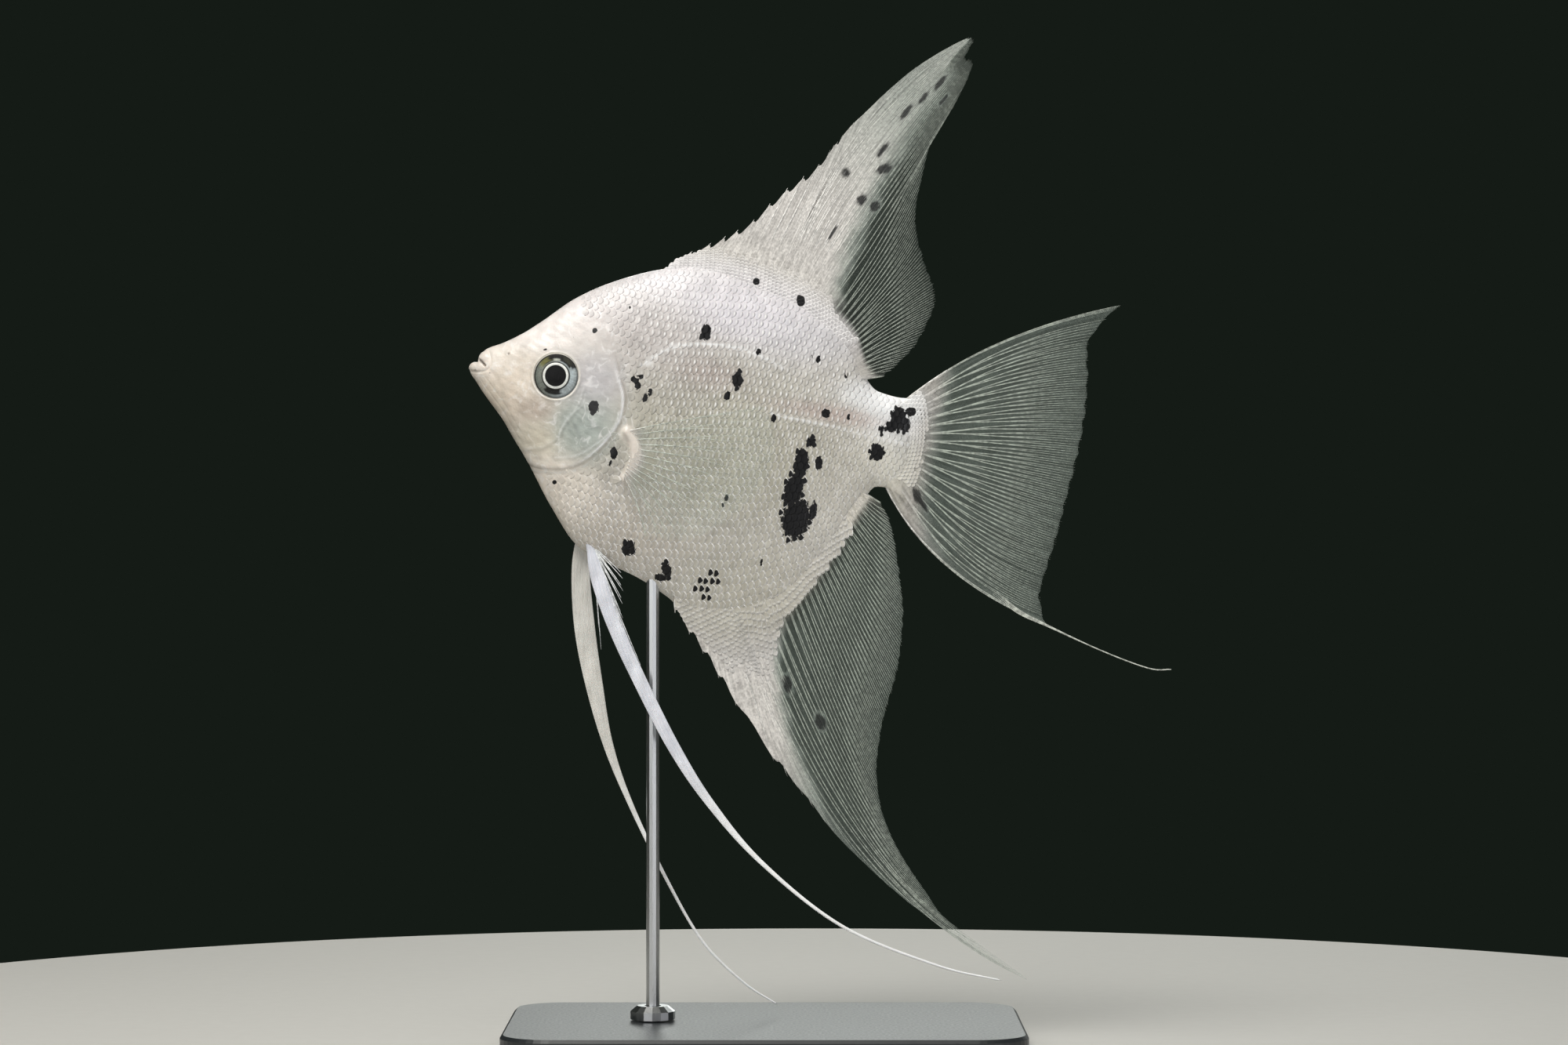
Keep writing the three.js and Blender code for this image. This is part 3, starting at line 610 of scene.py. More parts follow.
def pearlMaterial(name, look):
    # Live fish skin: a wet, thin, clear layer over silvery guanine, so it is pale, soft and glossy at once.
    material, tree = newMaterial(name)
    place = addNode(tree, "TexCoord").outputs["Object"]
    tone = addNode(tree, "Attribute", attribute_name="tone")
    mottle = addNode(tree, "TexNoise", {"Vector": place, "Scale": perMetre("mottle"), "Detail": 5,
                                        "Roughness": 0.6})
    pearl = addNode(tree, "MapRange", {"Value": mottle, "From Min": 0.3, "From Max": 0.7,
                                       "To Min": 0.91, "To Max": 1.07})
    base = addNode(tree, "VectorMath", {0: tone, 1: pearl}, operation="MULTIPLY")
    # pale veins: the middle of a winding noise, broken up by the mottle
    winding = addNode(tree, "TexNoise", {"Vector": place, "Scale": perMetre("veins"), "Detail": 2,
                                         "Distortion": 0.6})
    ridge = addNode(tree, "Math", {0: winding, 1: 0.5}, operation="SUBTRACT")
    ridge = addNode(tree, "Math", {0: ridge}, operation="ABSOLUTE")
    ridge = addNode(tree, "MapRange", {"Value": ridge, "From Min": 0, "From Max": 0.06,
                                       "To Min": look["veins"], "To Max": 0}, interpolation_type="SMOOTHSTEP")
    patches = addNode(tree, "MapRange", {"Value": mottle, "From Min": 0.42, "From Max": 0.62},
                      interpolation_type="SMOOTHSTEP")
    veins = addNode(tree, "Math", {0: ridge, 1: patches}, operation="MULTIPLY")
    base = addNode(tree, "Mix", {0: veins, 6: base, 7: rgba("#FBF9F8")}, data_type="RGBA").outputs[2]
    # black spots, with an edge that a fine noise frays
    solid = addNode(tree, "Attribute", attribute_name="solid").outputs["Fac"]
    fine = addNode(tree, "TexNoise", {"Vector": place, "Scale": perMetre("inkEdge"), "Detail": 3})
    fray = addNode(tree, "Math", {0: fine, 1: 0.5}, operation="SUBTRACT")
    fray = addNode(tree, "Math", {0: fray, 1: 0.9}, operation="MULTIPLY")
    frayed = addNode(tree, "Math", {0: solid, 1: fray}, operation="ADD")
    ink = addNode(tree, "MapRange", {"Value": frayed, "From Min": 0, "From Max": 0.1},
                  interpolation_type="SMOOTHSTEP")
    base = addNode(tree, "Mix", {0: ink, 6: base, 7: rgba(skinTints["ink"])}, data_type="RGBA").outputs[2]
    grain = addNode(tree, "TexVoronoi", {"Vector": place, "Scale": perMetre(look["grain"]),
                                         "Randomness": 0.85})
    wrinkles = addNode(tree, "TexNoise", {"Vector": place, "Scale": perMetre("wrinkles"), "Detail": 4,
                                          "Distortion": 0.8})
    height = addNode(tree, "Math", {0: wrinkles, 1: 1.6}, operation="MULTIPLY")
    height = addNode(tree, "Math", {0: height, 1: grain}, operation="SUBTRACT")
    bump = addNode(tree, "Bump", {"Height": height, "Strength": 0.32, "Distance": 0.00007})
    gloss = addNode(tree, "MapRange", {"Value": mottle, "From Min": 0.25, "From Max": 0.75,
                                       "To Min": look["roughness"] - 0.07,
                                       "To Max": look["roughness"] + 0.08})
    flesh = addNode(tree, "BsdfPrincipled", {
        "Base Color": base, "Roughness": gloss, "Normal": bump, "IOR": 1.42,
        "Coat Weight": look["coat"], "Coat Roughness": 0.18, "Coat IOR": 1.34,
        "Subsurface Weight": 0.12, "Subsurface Radius": (1.0, 0.7, 0.6), "Subsurface Scale": 0.0006})
    addNode(tree, "OutputMaterial", {"Surface": flesh})
    return material


# Marks on a scale, each an oval: its middle from root (-1) to tip (1), its half length and half width.
# The fleck is the pearly middle with a painted highlight, the rim is what lies outside its oval, the cell is
# one black cell.
scaleMarks = {"fleck": [0.6, 0.19, 0.52], "rim": [0.0, 1.0, 1.0], "cell": [0.5, 0.47, 0.66]}


def scaleMaterial(name):
    # A scale: a thin clear plate over silver, with a pearly fleck that holds a painted highlight, a pale free
    # edge, and black in spots.
    material, tree = newMaterial(name)
    place = addNode(tree, "TexCoord").outputs["Object"]
    tone = addNode(tree, "Attribute", attribute_name="tone")
    form = addNode(tree, "Attribute", attribute_name="form").outputs["Vector"]
    form = addNode(tree, "SeparateXYZ", {0: form})
    marks = addNode(tree, "Attribute", attribute_name="marks").outputs["Vector"]
    marks = addNode(tree, "SeparateXYZ", {0: marks})
    solid = addNode(tree, "Attribute", attribute_name="solid").outputs["Fac"]
    fine = addNode(tree, "TexNoise", {"Vector": place, "Scale": perMetre("scaleInkEdge"), "Detail": 3})
    mottle = addNode(tree, "TexNoise", {"Vector": place, "Scale": perMetre("mottle"), "Detail": 5})
    fray = addNode(tree, "Math", {0: fine, 1: 0.5}, operation="SUBTRACT")
    fray = addNode(tree, "Math", {0: fray, 1: 0.5}, operation="MULTIPLY")

    def outFrom(mark):  # how far out in a mark's oval: 0 at its middle, 1 at its edge
        middle, halfLength, halfWidth = scaleMarks[mark]
        along = addNode(tree, "Math", {0: form.outputs["X"], 1: middle}, operation="SUBTRACT")
        along = addNode(tree, "Math", {0: along, 1: halfLength}, operation="DIVIDE")
        across = addNode(tree, "Math", {0: form.outputs["Y"], 1: halfWidth}, operation="DIVIDE")
        along = addNode(tree, "Math", {0: along, 1: along}, operation="MULTIPLY")
        across = addNode(tree, "Math", {0: across, 1: across}, operation="MULTIPLY")
        squares = addNode(tree, "Math", {0: along, 1: across}, operation="ADD")
        out = addNode(tree, "Math", {0: squares}, operation="SQRT")
        return addNode(tree, "Math", {0: out, 1: fray}, operation="ADD")

    pearl = addNode(tree, "MapRange", {"Value": mottle, "From Min": 0.3, "From Max": 0.7,
                                       "To Min": 0.9, "To Max": 1.04}, interpolation_type="SMOOTHSTEP")
    base = addNode(tree, "VectorMath", {0: tone, 1: pearl}, operation="MULTIPLY")
    fleck = addNode(tree, "MapRange", {"Value": outFrom("fleck"), "From Min": 0.3, "From Max": 1.2,
                                       "To Min": 1, "To Max": 0}, interpolation_type="SMOOTHSTEP")
    fleck = addNode(tree, "Math", {0: fleck, 1: marks.outputs["Y"]}, operation="MULTIPLY")
    rim = addNode(tree, "MapRange", {"Value": outFrom("rim"), "From Min": 0.8, "From Max": 0.95},
                  interpolation_type="SMOOTHSTEP")
    rim = addNode(tree, "Math", {0: rim, 1: marks.outputs["Z"]}, operation="MULTIPLY")
    # the fleck's painted highlight and the pale rim
    pale = addNode(tree, "Math", {0: fleck, 1: rim}, operation="MAXIMUM")
    base = addNode(tree, "Mix", {0: pale, 6: base, 7: rgba("#FFFDFA")}, data_type="RGBA").outputs[2]
    cell = addNode(tree, "MapRange", {"Value": outFrom("cell"), "From Min": 0.88, "From Max": 1,
                                      "To Min": 1, "To Max": 0}, interpolation_type="SMOOTHSTEP")
    cell = addNode(tree, "Math", {0: cell, 1: marks.outputs["X"]}, operation="MULTIPLY")
    frayed = addNode(tree, "Math", {0: solid, 1: fray}, operation="ADD")
    spot = addNode(tree, "MapRange", {"Value": frayed, "From Min": 0, "From Max": 0.08},
                   interpolation_type="SMOOTHSTEP")
    ink = addNode(tree, "Math", {0: cell, 1: spot}, operation="MAXIMUM")
    base = addNode(tree, "Mix", {0: ink, 6: base, 7: rgba(skinTints["ink"])}, data_type="RGBA").outputs[2]
    grain = addNode(tree, "TexVoronoi", {"Vector": place, "Scale": perMetre("scaleGrain"), "Randomness": 0.9})
    bump = addNode(tree, "Bump", {"Height": grain, "Strength": 0.2, "Distance": 0.00004})
    gloss = addNode(tree, "MapRange", {"Value": mottle, "From Min": 0.25, "From Max": 0.75,
                                       "To Min": 0.28, "To Max": 0.42}, interpolation_type="SMOOTHSTEP")
    duller = addNode(tree, "Math", {0: ink, 1: 0.25}, operation="MULTIPLY")
    gloss = addNode(tree, "Math", {0: gloss, 1: duller}, operation="ADD")
    guanine = addNode(tree, "BsdfPrincipled", {
        "Base Color": base, "Roughness": gloss, "Normal": bump, "IOR": 1.4,
        "Coat Weight": 0.1, "Coat Roughness": 0.2, "Coat IOR": 1.34,
        "Subsurface Weight": 0.1, "Subsurface Radius": (1.0, 0.7, 0.6), "Subsurface Scale": 0.0005})
    addNode(tree, "OutputMaterial", {"Surface": guanine})
    return material


def finMaterial(name):
    # Fin membrane: two layers of clear skin with pale pigment cells, from see-through to milky.
    material, tree = newMaterial(name)
    place = addNode(tree, "TexCoord").outputs["Object"]
    tone = addNode(tree, "Attribute", attribute_name="tone")
    cover = addNode(tree, "Attribute", attribute_name="cover").outputs["Fac"]
    fan = addNode(tree, "Attribute", attribute_name="fan").outputs["Vector"]
    grain = addNode(tree, "TexNoise", {"Vector": place, "Scale": perMetre("finGrain"), "Detail": 3})
    streaks = addNode(tree, "TexNoise", {"Vector": fan, "Scale": 4.5, "Detail": 3})
    # the network of small scales: about one mesh from ray to ray, 22 in every 40 mm along them
    meshes = addNode(tree, "VectorMath", {0: fan, 1: (1.25, 22, 0)}, operation="MULTIPLY")
    edges = addNode(tree, "TexVoronoi", {"Vector": meshes, "Scale": 1, "Randomness": 0.7},
                    feature="DISTANCE_TO_EDGE")
    line = addNode(tree, "MapRange", {"Value": edges, "From Min": 0.02, "From Max": 0.16,
                                      "To Min": 1, "To Max": 0}, interpolation_type="SMOOTHSTEP")
    strength = addNode(tree, "SeparateXYZ", {0: fan}).outputs["Z"]
    line = addNode(tree, "Math", {0: line, 1: strength}, operation="MULTIPLY")
    grainy = addNode(tree, "MapRange", {"Value": grain, "From Min": 0.3, "From Max": 0.7,
                                        "To Min": 0.9, "To Max": 1.08}, interpolation_type="SMOOTHSTEP")
    streaky = addNode(tree, "MapRange", {"Value": streaks, "From Min": 0.36, "From Max": 0.64,
                                         "To Min": 0.88, "To Max": 1.1}, interpolation_type="SMOOTHSTEP")
    uneven = addNode(tree, "Math", {0: grainy, 1: streaky}, operation="MULTIPLY")
    base = addNode(tree, "VectorMath", {0: tone, 1: uneven}, operation="MULTIPLY")
    paleLine = addNode(tree, "Math", {0: line, 1: 0.7}, operation="MULTIPLY")
    base = addNode(tree, "Mix", {0: paleLine, 6: base, 7: rgba("#F6F2EC")}, data_type="RGBA").outputs[2]
    alpha = addNode(tree, "Math", {0: cover, 1: uneven}, operation="MULTIPLY", use_clamp=True)
    height = addNode(tree, "Math", {0: streaks, 1: line}, operation="ADD")
    bump = addNode(tree, "Bump", {"Height": height, "Strength": 0.3, "Distance": 0.00005})
    web = addNode(tree, "BsdfPrincipled", {"Base Color": base, "Alpha": alpha, "Normal": bump,
                                           "Roughness": 0.4, "IOR": 1.35})
    addNode(tree, "OutputMaterial", {"Surface": web})
    return material


def rayMaterial(name):
    # Fin rays: slim jointed bone under clear skin, so they are bright, faintly beaded threads.
    material, tree = newMaterial(name)
    place = addNode(tree, "TexCoord").outputs["Object"]
    tone = addNode(tree, "Attribute", attribute_name="tone")
    cover = addNode(tree, "Attribute", attribute_name="cover").outputs["Fac"]
    joints = addNode(tree, "TexNoise", {"Vector": place, "Scale": perMetre("rayBeads"), "Detail": 2})
    beads = addNode(tree, "MapRange", {"Value": joints, "From Min": 0.4, "From Max": 0.6,
                                       "To Min": 0.66, "To Max": 1.16})
    base = addNode(tree, "VectorMath", {0: tone, 1: beads}, operation="MULTIPLY")
    bone = addNode(tree, "BsdfPrincipled", {"Base Color": base, "Alpha": cover, "Roughness": 0.38,
                                            "IOR": 1.5})
    addNode(tree, "OutputMaterial", {"Surface": bone})
    return material


wetSkin = {"roughness": 0.38, "coat": 0.28, "grain": "skinGrain", "veins": 0.4}
satinFin = {"roughness": 0.42, "coat": 0.1, "grain": "bladeGrain", "veins": 0.0}
skinPearl = pearlMaterial("wet_pearl_skin", wetSkin)
scalePearl = scaleMaterial("pearl_scales")
finBlade = pearlMaterial("satin_white_fin", satinFin)
finWeb = finMaterial("clear_fin_membrane")
finRay = rayMaterial("white_fin_ray")
finishPiece(skin, skinPearl, "scaly_skin", "head", "trunk", "tail_stalk")


# Scales. One plate is modelled, then laid on the flank copy by copy, root forward and tip lifted.
scale = {"length": 2.05, "height": 2.1, "pitch": 1.1, "rowPitch": 1.52, "thickness": 0.014, "lift": 0.030,
         "sink": 0.036, "dome": 0.008, "shown": 0.42, "cells": 5, "rootSpot": 0.0015,
         "start": 12.5, "columns": 62, "rowsUp": 22, "rowsDown": 26,
         "bigSpot": 0.95}  # spots of this half size and more blacken whole scales, smaller ones parts of them


def scalePlate():
    bpy.ops.mesh.primitive_grid_add(x_subdivisions=scale["cells"], y_subdivisions=scale["cells"], size=2)
    plate = bpy.context.active_object
    bpy.ops.object.mode_set(mode="EDIT")
    bpy.ops.mesh.extrude_region_move(TRANSFORM_OT_translate={"value": (0, 0, -1)})
    bpy.ops.mesh.select_all(action="DESELECT")
    bpy.ops.object.mode_set(mode="OBJECT")
    for face in plate.data.polygons:
        face.select = face.center.z < -0.99
    bpy.ops.object.mode_set(mode="EDIT")
    bpy.ops.mesh.select_mode(type="FACE")
    bpy.ops.mesh.dissolve_faces()
    bpy.ops.mesh.select_all(action="SELECT")
    bpy.ops.mesh.normals_make_consistent(inside=False)
    bpy.ops.object.mode_set(mode="OBJECT")
    for face in plate.data.polygons:
        face.use_smooth = face.center.z > -0.01
    return plate


plate = scalePlate()
plateForm = vertexPlaces(plate)  # x from root (-1) to tip (1), y across, z 0 on top and -1 underneath
plateAlong = (plateForm[:, 0] + 1) / 2
plateWidth = through([[-1, 0.66], [-0.5, 0.93], [0, 1], [0.5, 0.94], [0.8, 0.8], [1, 0.58]])(plateForm[:, 0])
plateAcross = plateForm[:, 1] * plateWidth
plateTip = plateForm[:, 0] - 0.30 * plateForm[:, 1] ** 2 * plateAlong  # the free edge is rounded
platePatch = plateForm[:, :2] * scale["rootSpot"]  # its size on the UV map


# Distance round a section from its widest level, upwards on the back, downwards on the belly.
sectionS = np.linspace(10, 79.6, 180)
sectionAngle = np.linspace(0, np.pi, 241)
sectionAt = bodyAt(sectionS[:, None], sectionAngle[None], -body["coatDepth"])
steps = np.linalg.norm(np.diff(sectionAt, axis=1), axis=2)
reached = np.concatenate([np.zeros((len(sectionS), 1)), np.cumsum(steps, 1)], 1)
widest = len(sectionAngle) // 2
roundUp = reached[:, widest, None] - reached  # positive above the level
upLength, downLength = roundUp[:, 0], -roundUp[:, -1]


def angleFor(s, a):
    i = np.clip(np.searchsorted(sectionS, s) - 1, 0, len(sectionS) - 2)
    t = np.clip((s - sectionS[i]) / (sectionS[i + 1] - sectionS[i]), 0, 1)
    found = np.zeros(s.shape)
    for k in np.unique(i):
        here = i == k
        low = np.interp(-a[here], -roundUp[k], sectionAngle)
        high = np.interp(-a[here], -roundUp[k + 1], sectionAngle)
        found[here] = mixed(low, high, t[here])
    return found


def rowSqueeze(s):  # rows of scales draw together towards the tail
    return 1 - 0.30 * ramp(48, 78, s)


def bareHead(s, h):  # millimetres inside the bare part of the head, below 0 on the scaled part
    away = gapTo(napeLine, s, h)
    napeS, napeH = napePoints[::-1].T
    bareNape = np.where((s < np.interp(h, napeH, napeS)) & (h > 5), away, -away - 30 * (h < 5))
    bareThroat = np.where(h < -10, 13 - s - 0.2 * h, -30)
    return np.maximum(np.maximum(bareNape, bareThroat), 0.7 - gillDepth(s, h))


def scaleMiddles():  # rows of scales, set off by half a step, with gaps at the head, back, belly and fins
    i, j = [x.ravel() for x in np.meshgrid(np.arange(scale["columns"]),
                                           np.arange(-scale["rowsDown"], scale["rowsUp"]), indexing="ij")]
    s = scale["start"] + scale["pitch"] * (i + 0.5 * (j % 2)) + dice.normal(0, 0.035, i.shape)
    a = scale["rowPitch"] * (j + 0.5) * rowSqueeze(s) + dice.normal(0, 0.03, i.shape)
    h = bodyAt(s, angleFor(s, a))[:, 2]
    bare = bareHead(s, h)
    pad = np.minimum(gapTo(finBase, s, h), gapTo(padLine, s - 0.4, h) - 0.5)
    keep = (a < np.interp(s, sectionS, upLength) - 0.2) & (a > 0.2 - np.interp(s, sectionS, downLength))
    keep &= (s < 79.2) & (bare < 0) & (pad > 1.3)
    return s[keep], a[keep], h[keep], bare[keep]


def layScales(name, side):
    s, a, h, bare = scaleMiddles()
    count = len(s)
    squeeze = rowSqueeze(s)[:, None]
    nearEdge = np.interp(h, [-34, -28, 14, 22], [0.9, 1, 1, 0.85])
    size = squeeze * (nearEdge * mixed(0.72, 1, ramp(0, -5, bare)))[:, None]
    size = size * dice.uniform(0.95, 1.05, (count, 1))
    alongs = s[:, None] + 0.5 * scale["length"] * plateTip[None] * size
    arounds = a[:, None] + 0.5 * scale["height"] * plateAcross[None] * size
    turn = angleFor(np.clip(alongs, 10.1, 79.5).ravel(), arounds.ravel())
    surface = bodyAt(alongs.ravel(), turn, -body["coatDepth"])
    out = bodyNormal(alongs.ravel(), turn)
    rise = mixed(-scale["sink"], scale["lift"], plateAlong) - scale["dome"] * plateForm[:, 1] ** 2
    rise = rise + scale["thickness"] * plateForm[:, 2]
    early = mixed(1.0, 0.35, ramp(-7, 0, bare))  # the first scales lie flattest, level with the skin
    rise = np.tile(rise, count) * np.repeat(squeeze[:, 0] * early, len(plateForm))
    rise += skinRelief(surface[:, 0], surface[:, 2]) * offRidge(turn)
    places = surface + out * rise[:, None]
    places[:, 1] *= side
    places = toWorld(*places.T).reshape(count, -1, 3)
    made = joinedCopies(name, plate, places, skinSpots(s, turn, side, count))
    if side < 0:
        turnOver(made)
    return made, s, h, alongs, surface[:, 2].reshape(count, -1)


def skinSpots(s, turn, side, count):  # a tiny patch for each scale at its place on the unrolled skin
    share = np.linspace(0, 1, 500)
    around = np.interp(turn.reshape(count, -1).mean(1), skinAngles(share), share)
    root = np.stack([np.interp(s, skinStations(share), share), around if side > 0 else 1 - around], -1)
    return root[:, None] + platePatch[None]


def paintScales(made, s, h, alongs, heights, side):
    # form: place on the plate. marks: black cell, pearl fleck with its painted highlight, pale rim. solid:
    # depth in a solid black spot.
    count, perScale = alongs.shape
    tone = skinTone(alongs, heights) * (1 + 0.05 * dice.normal(0, 1, count))[:, None, None]
    for line in lateralLines:
        tone = tinted(tone, "#FFFFFF", 0.75 * bell(gapTo(line, alongs, heights), 0.26))
    upper = ramp(-16, 2, h)
    top = bodyLine["top"](s)
    calm = ramp(0, -9, bareHead(s, h))
    # the fleck is pearly tint with a painted highlight, stronger on the upper flank
    fleck = mixed(0.3, 1.0, upper) * dice.uniform(0.45, 1.1, count) * (1 - 0.75 * ramp(top - 7, top - 2, h))
    rim = mixed(0.85, 0.3, upper) * dice.uniform(0.5, 1.1, count)
    spots, scattered = sideSpots[side]
    big = [spot for spot in spots if max(spot[2:4]) >= scale["bigSpot"]]
    small = [spot for spot in spots if max(spot[2:4]) < scale["bigSpot"]]
    shownS = s + 0.5 * scale["length"] * scale["shown"]
    inBig = depthInSpots(big, shownS, h) + dice.normal(0, 0.05, count) > -0.02
    inPatch = (depthInSpots(scattered, shownS, h) > 0) & (dice.uniform(0, 1, count) < 0.97)
    solid = np.maximum(depthInSpots(big, alongs, heights) - 0.14, depthInSpots(small, alongs, heights))
    marks = np.stack([inBig | inPatch, fleck * calm, rim * calm], -1)
    paint(made, "tone", tone.reshape(-1, 3))
    paintVectors(made, "form", np.tile(plateForm, (count, 1)))
    paintVectors(made, "marks", np.repeat(marks, perScale, axis=0))
    paint(made, "solid", solid.ravel())


for side, name in ((-1, "scales_left"), (1, "scales_right")):
    coat, s, h, alongs, heights = layScales(name, side)
    paintScales(coat, s, h, alongs, heights, side)
    finishPiece(coat, scalePearl, "scaly_skin")
print("scales laid")


# Fins. Each is a fan of rays with a thin web between them, and a ray is its foot, middle and tip: s, h, s, h,
# s, h. Pale skin covers the web up to the line "sheath", and "inward" says on which side of it that is.
# "hidden" is how much of the longest foot the body hides, and "scales" are those over the foot of the fin.
dorsal = {
    "rays": [
        [30.7, 22, 32, 23.6, 33.2, 25.2], [32.3, 22.5, 33.9, 24.8, 35.5, 27],
        [34.5, 22.9, 36.5, 25.9, 38.5, 29], [36.7, 23.2, 38.8, 26.9, 40.9, 30.7],
        [38.8, 23.6, 40.8, 27.9, 42.9, 32.2],
        [41, 23.7, 43.2, 29.1, 45.4, 34.5], [43, 23.8, 45.4, 30.8, 47.7, 37.8],
        [44.9, 23.7, 47.6, 32.4, 50.3, 41.1], [46.6, 23.6, 49.7, 33.7, 52.8, 43.7],
        [48.2, 23.3, 51.7, 34.8, 55.1, 46.3], [50, 22.9, 53.8, 36.8, 57.5, 50.8],
        [50.9, 22.6, 56.3, 39.2, 61.1, 56.4], [51.3, 22.5, 58.5, 46.5, 69, 66.3],
        [51.8, 22.5, 60, 50.9, 76.5, 72.6], [53.2, 22.2, 62.2, 48.8, 78.5, 73],
        [54.8, 21.6, 64.3, 46.6, 77.6, 69.7], [56.2, 20.9, 65.7, 44, 79.1, 69.2],
        [57.6, 20.1, 66.9, 41.5, 78.7, 66.2], [58.9, 19.3, 67.9, 38.8, 76.9, 60.5],
        [60.2, 18.4, 68.2, 35.6, 74.4, 55.2], [61.3, 17.6, 68.5, 32.5, 73.7, 48.2],
        [62.4, 16.8, 69.2, 29.8, 73.6, 41.1], [63.4, 15.9, 70.3, 27, 74.7, 36.8],
        [64.5, 14.9, 71.3, 24.4, 76.9, 32.2], [65.5, 14, 72.4, 21.7, 79.2, 28.2],
        [66.4, 13, 73.1, 19.4, 79.9, 24.9], [67.1, 12.1, 73.2, 17, 79.1, 21.3],
        [67.8, 11.2, 72.8, 14.7, 77.8, 17.4], [68.5, 10.4, 71.9, 12.3, 75.6, 14],
        [69.1, 9.6, 71, 10.2, 73.1, 10.9],
    ],
    "spines": 11, "softRays": 29, "splits": [0.05, 0.42], "spread": [0.25, 0.125], "webSteps": 100,
    "base": 0.85, "edge": lambda s, h: h - bodyLine["top"](s),
    "sheath": [[60.9, 18.0], [60.9, 24], [61.9, 31], [63.4, 38.5], [65.1, 44.6], [67.3, 50.3], [74, 66]],
    "clear": 0.03, "milky": 0.86, "soften": 3.7, "dip": 1.5, "fade": [14, 52, 0.6], "net": [0.6, 3, 10],
    "inward": 1, "root": 2.2, "hidden": 4,
    "rayCover": 0.3, "rayFoot": 0.135, "rayTip": 0.06, "rayDepth": 1.1,
    "scales": {"reach": 3.4, "gap": 0.6, "length": 1.25, "height": 0.9},
    "spots": [[60.1, 45.6, 0.7, 1.0, 25], [65.9, 50.9, 0.5, 1.7, -28], [66.8, 47.5, 1.5, 1.0, 35],
              [63.7, 41.3, 0.8, 1.1, -20], [66.3, 40.6, 1.0, 1.1, -20], [68.8, 58.2, 0.5, 1.8, -28],
              [71.4, 61.2, 0.45, 1.5, -28], [73.9, 64.4, 0.5, 1.9, -30], [75.0, 61.5, 0.4, 1.4, -30],
              [59.6, 34.6, 0.28, 1.5, -20]],
    "sway": lambda s, h: 1.2 * np.sin((s - 42) / 13) * np.maximum(0, (h - 24) / 45),
}
anal = {
    "rays": [
        [42.6, -33.6, 43.2, -35.3, 43.7, -37.2], [43.9, -32.6, 45.5, -36.6, 46.9, -40.5],
        [45.1, -31.7, 47.7, -37.6, 49.9, -43.5], [46.5, -30.8, 50.2, -38.9, 53.4, -47.3],
        [47.9, -29.8, 52.8, -40.6, 57.3, -51.6], [49.3, -28.8, 57.3, -44.2, 65.6, -60.1],
        [50.7, -27.9, 59.5, -45.5, 70.8, -64.4], [51.2, -27.5, 63.8, -51.2, 80.3, -72.4],
        [51.6, -27.2, 70.3, -60, 93.6, -80.9], [51.9, -26.9, 75.9, -65.8, 106.3, -86.6],
        [52.3, -26.7, 81.3, -69.8, 117.4, -90.8], [53.6, -25.8, 79.6, -64.7, 101.7, -83.1],
        [55.1, -24.7, 78.1, -60, 97, -79], [56.6, -23.6, 76.2, -54.7, 90.7, -72.4],
        [58.1, -22.3, 74.4, -49.3, 86.4, -65.9], [59.6, -21.2, 73.4, -43.8, 84.3, -59.6],
        [61.1, -19.9, 73.4, -39.5, 83.8, -55.4], [62.6, -18.8, 73.8, -35.6, 83.7, -50.5],
        [64.1, -17.6, 74.6, -32.2, 84.2, -45.2], [65.6, -16.4, 75.3, -28.8, 84.7, -40.4],
        [67, -15.3, 75.7, -25.6, 84.5, -34.9], [68.3, -14.3, 76, -22.4, 83.9, -29.7],
        [69.6, -13.3, 76.3, -19.8, 82.7, -25.5], [70.7, -12.4, 76.1, -17.3, 81.4, -21.2],
        [71.7, -11.5, 75.8, -14.5, 79.9, -17], [72.6, -10.8, 75.6, -12.5, 78.5, -13.9],
        [73.3, -10.2, 75, -10.8, 76.5, -11.4],
    ],
    "spines": 7, "softRays": 31, "splits": [0.05, 0.5], "spread": [0.25, 0.125], "webSteps": 110,
    "base": 0.9, "edge": lambda s, h: bodyLine["bottom"](s) - h,
    "sheath": [[73.6, -10.1], [69.4, -18.9], [65.9, -26.9], [62.7, -32.9], [61.7, -38], [62.3, -42.9],
               [64.1, -49], [66.5, -54.5], [70, -60.5], [80.8, -74.2], [100, -86]],
    "clear": 0.07, "milky": 0.92, "soften": 2.4, "dip": 1.6, "fade": [24, 60, 0.55], "net": [0.75, 10, 30],
    "inward": -1, "root": 2.2, "hidden": 13,
    "rayCover": 0.46, "rayFoot": 0.15, "rayTip": 0.06, "rayDepth": 1.0,
    "scales": {"reach": 9.5, "gap": 1.0, "length": 2.1, "height": 1.0},
    "spots": [[65.7, -46.3, 0.95, 1.9, 22], [72.6, -51.8, 1.1, 1.6, 30]],
    "sway": lambda s, h: 1.5 * np.sin((s - 60) / 17) * np.maximum(0, (-34 - h) / 50),
}
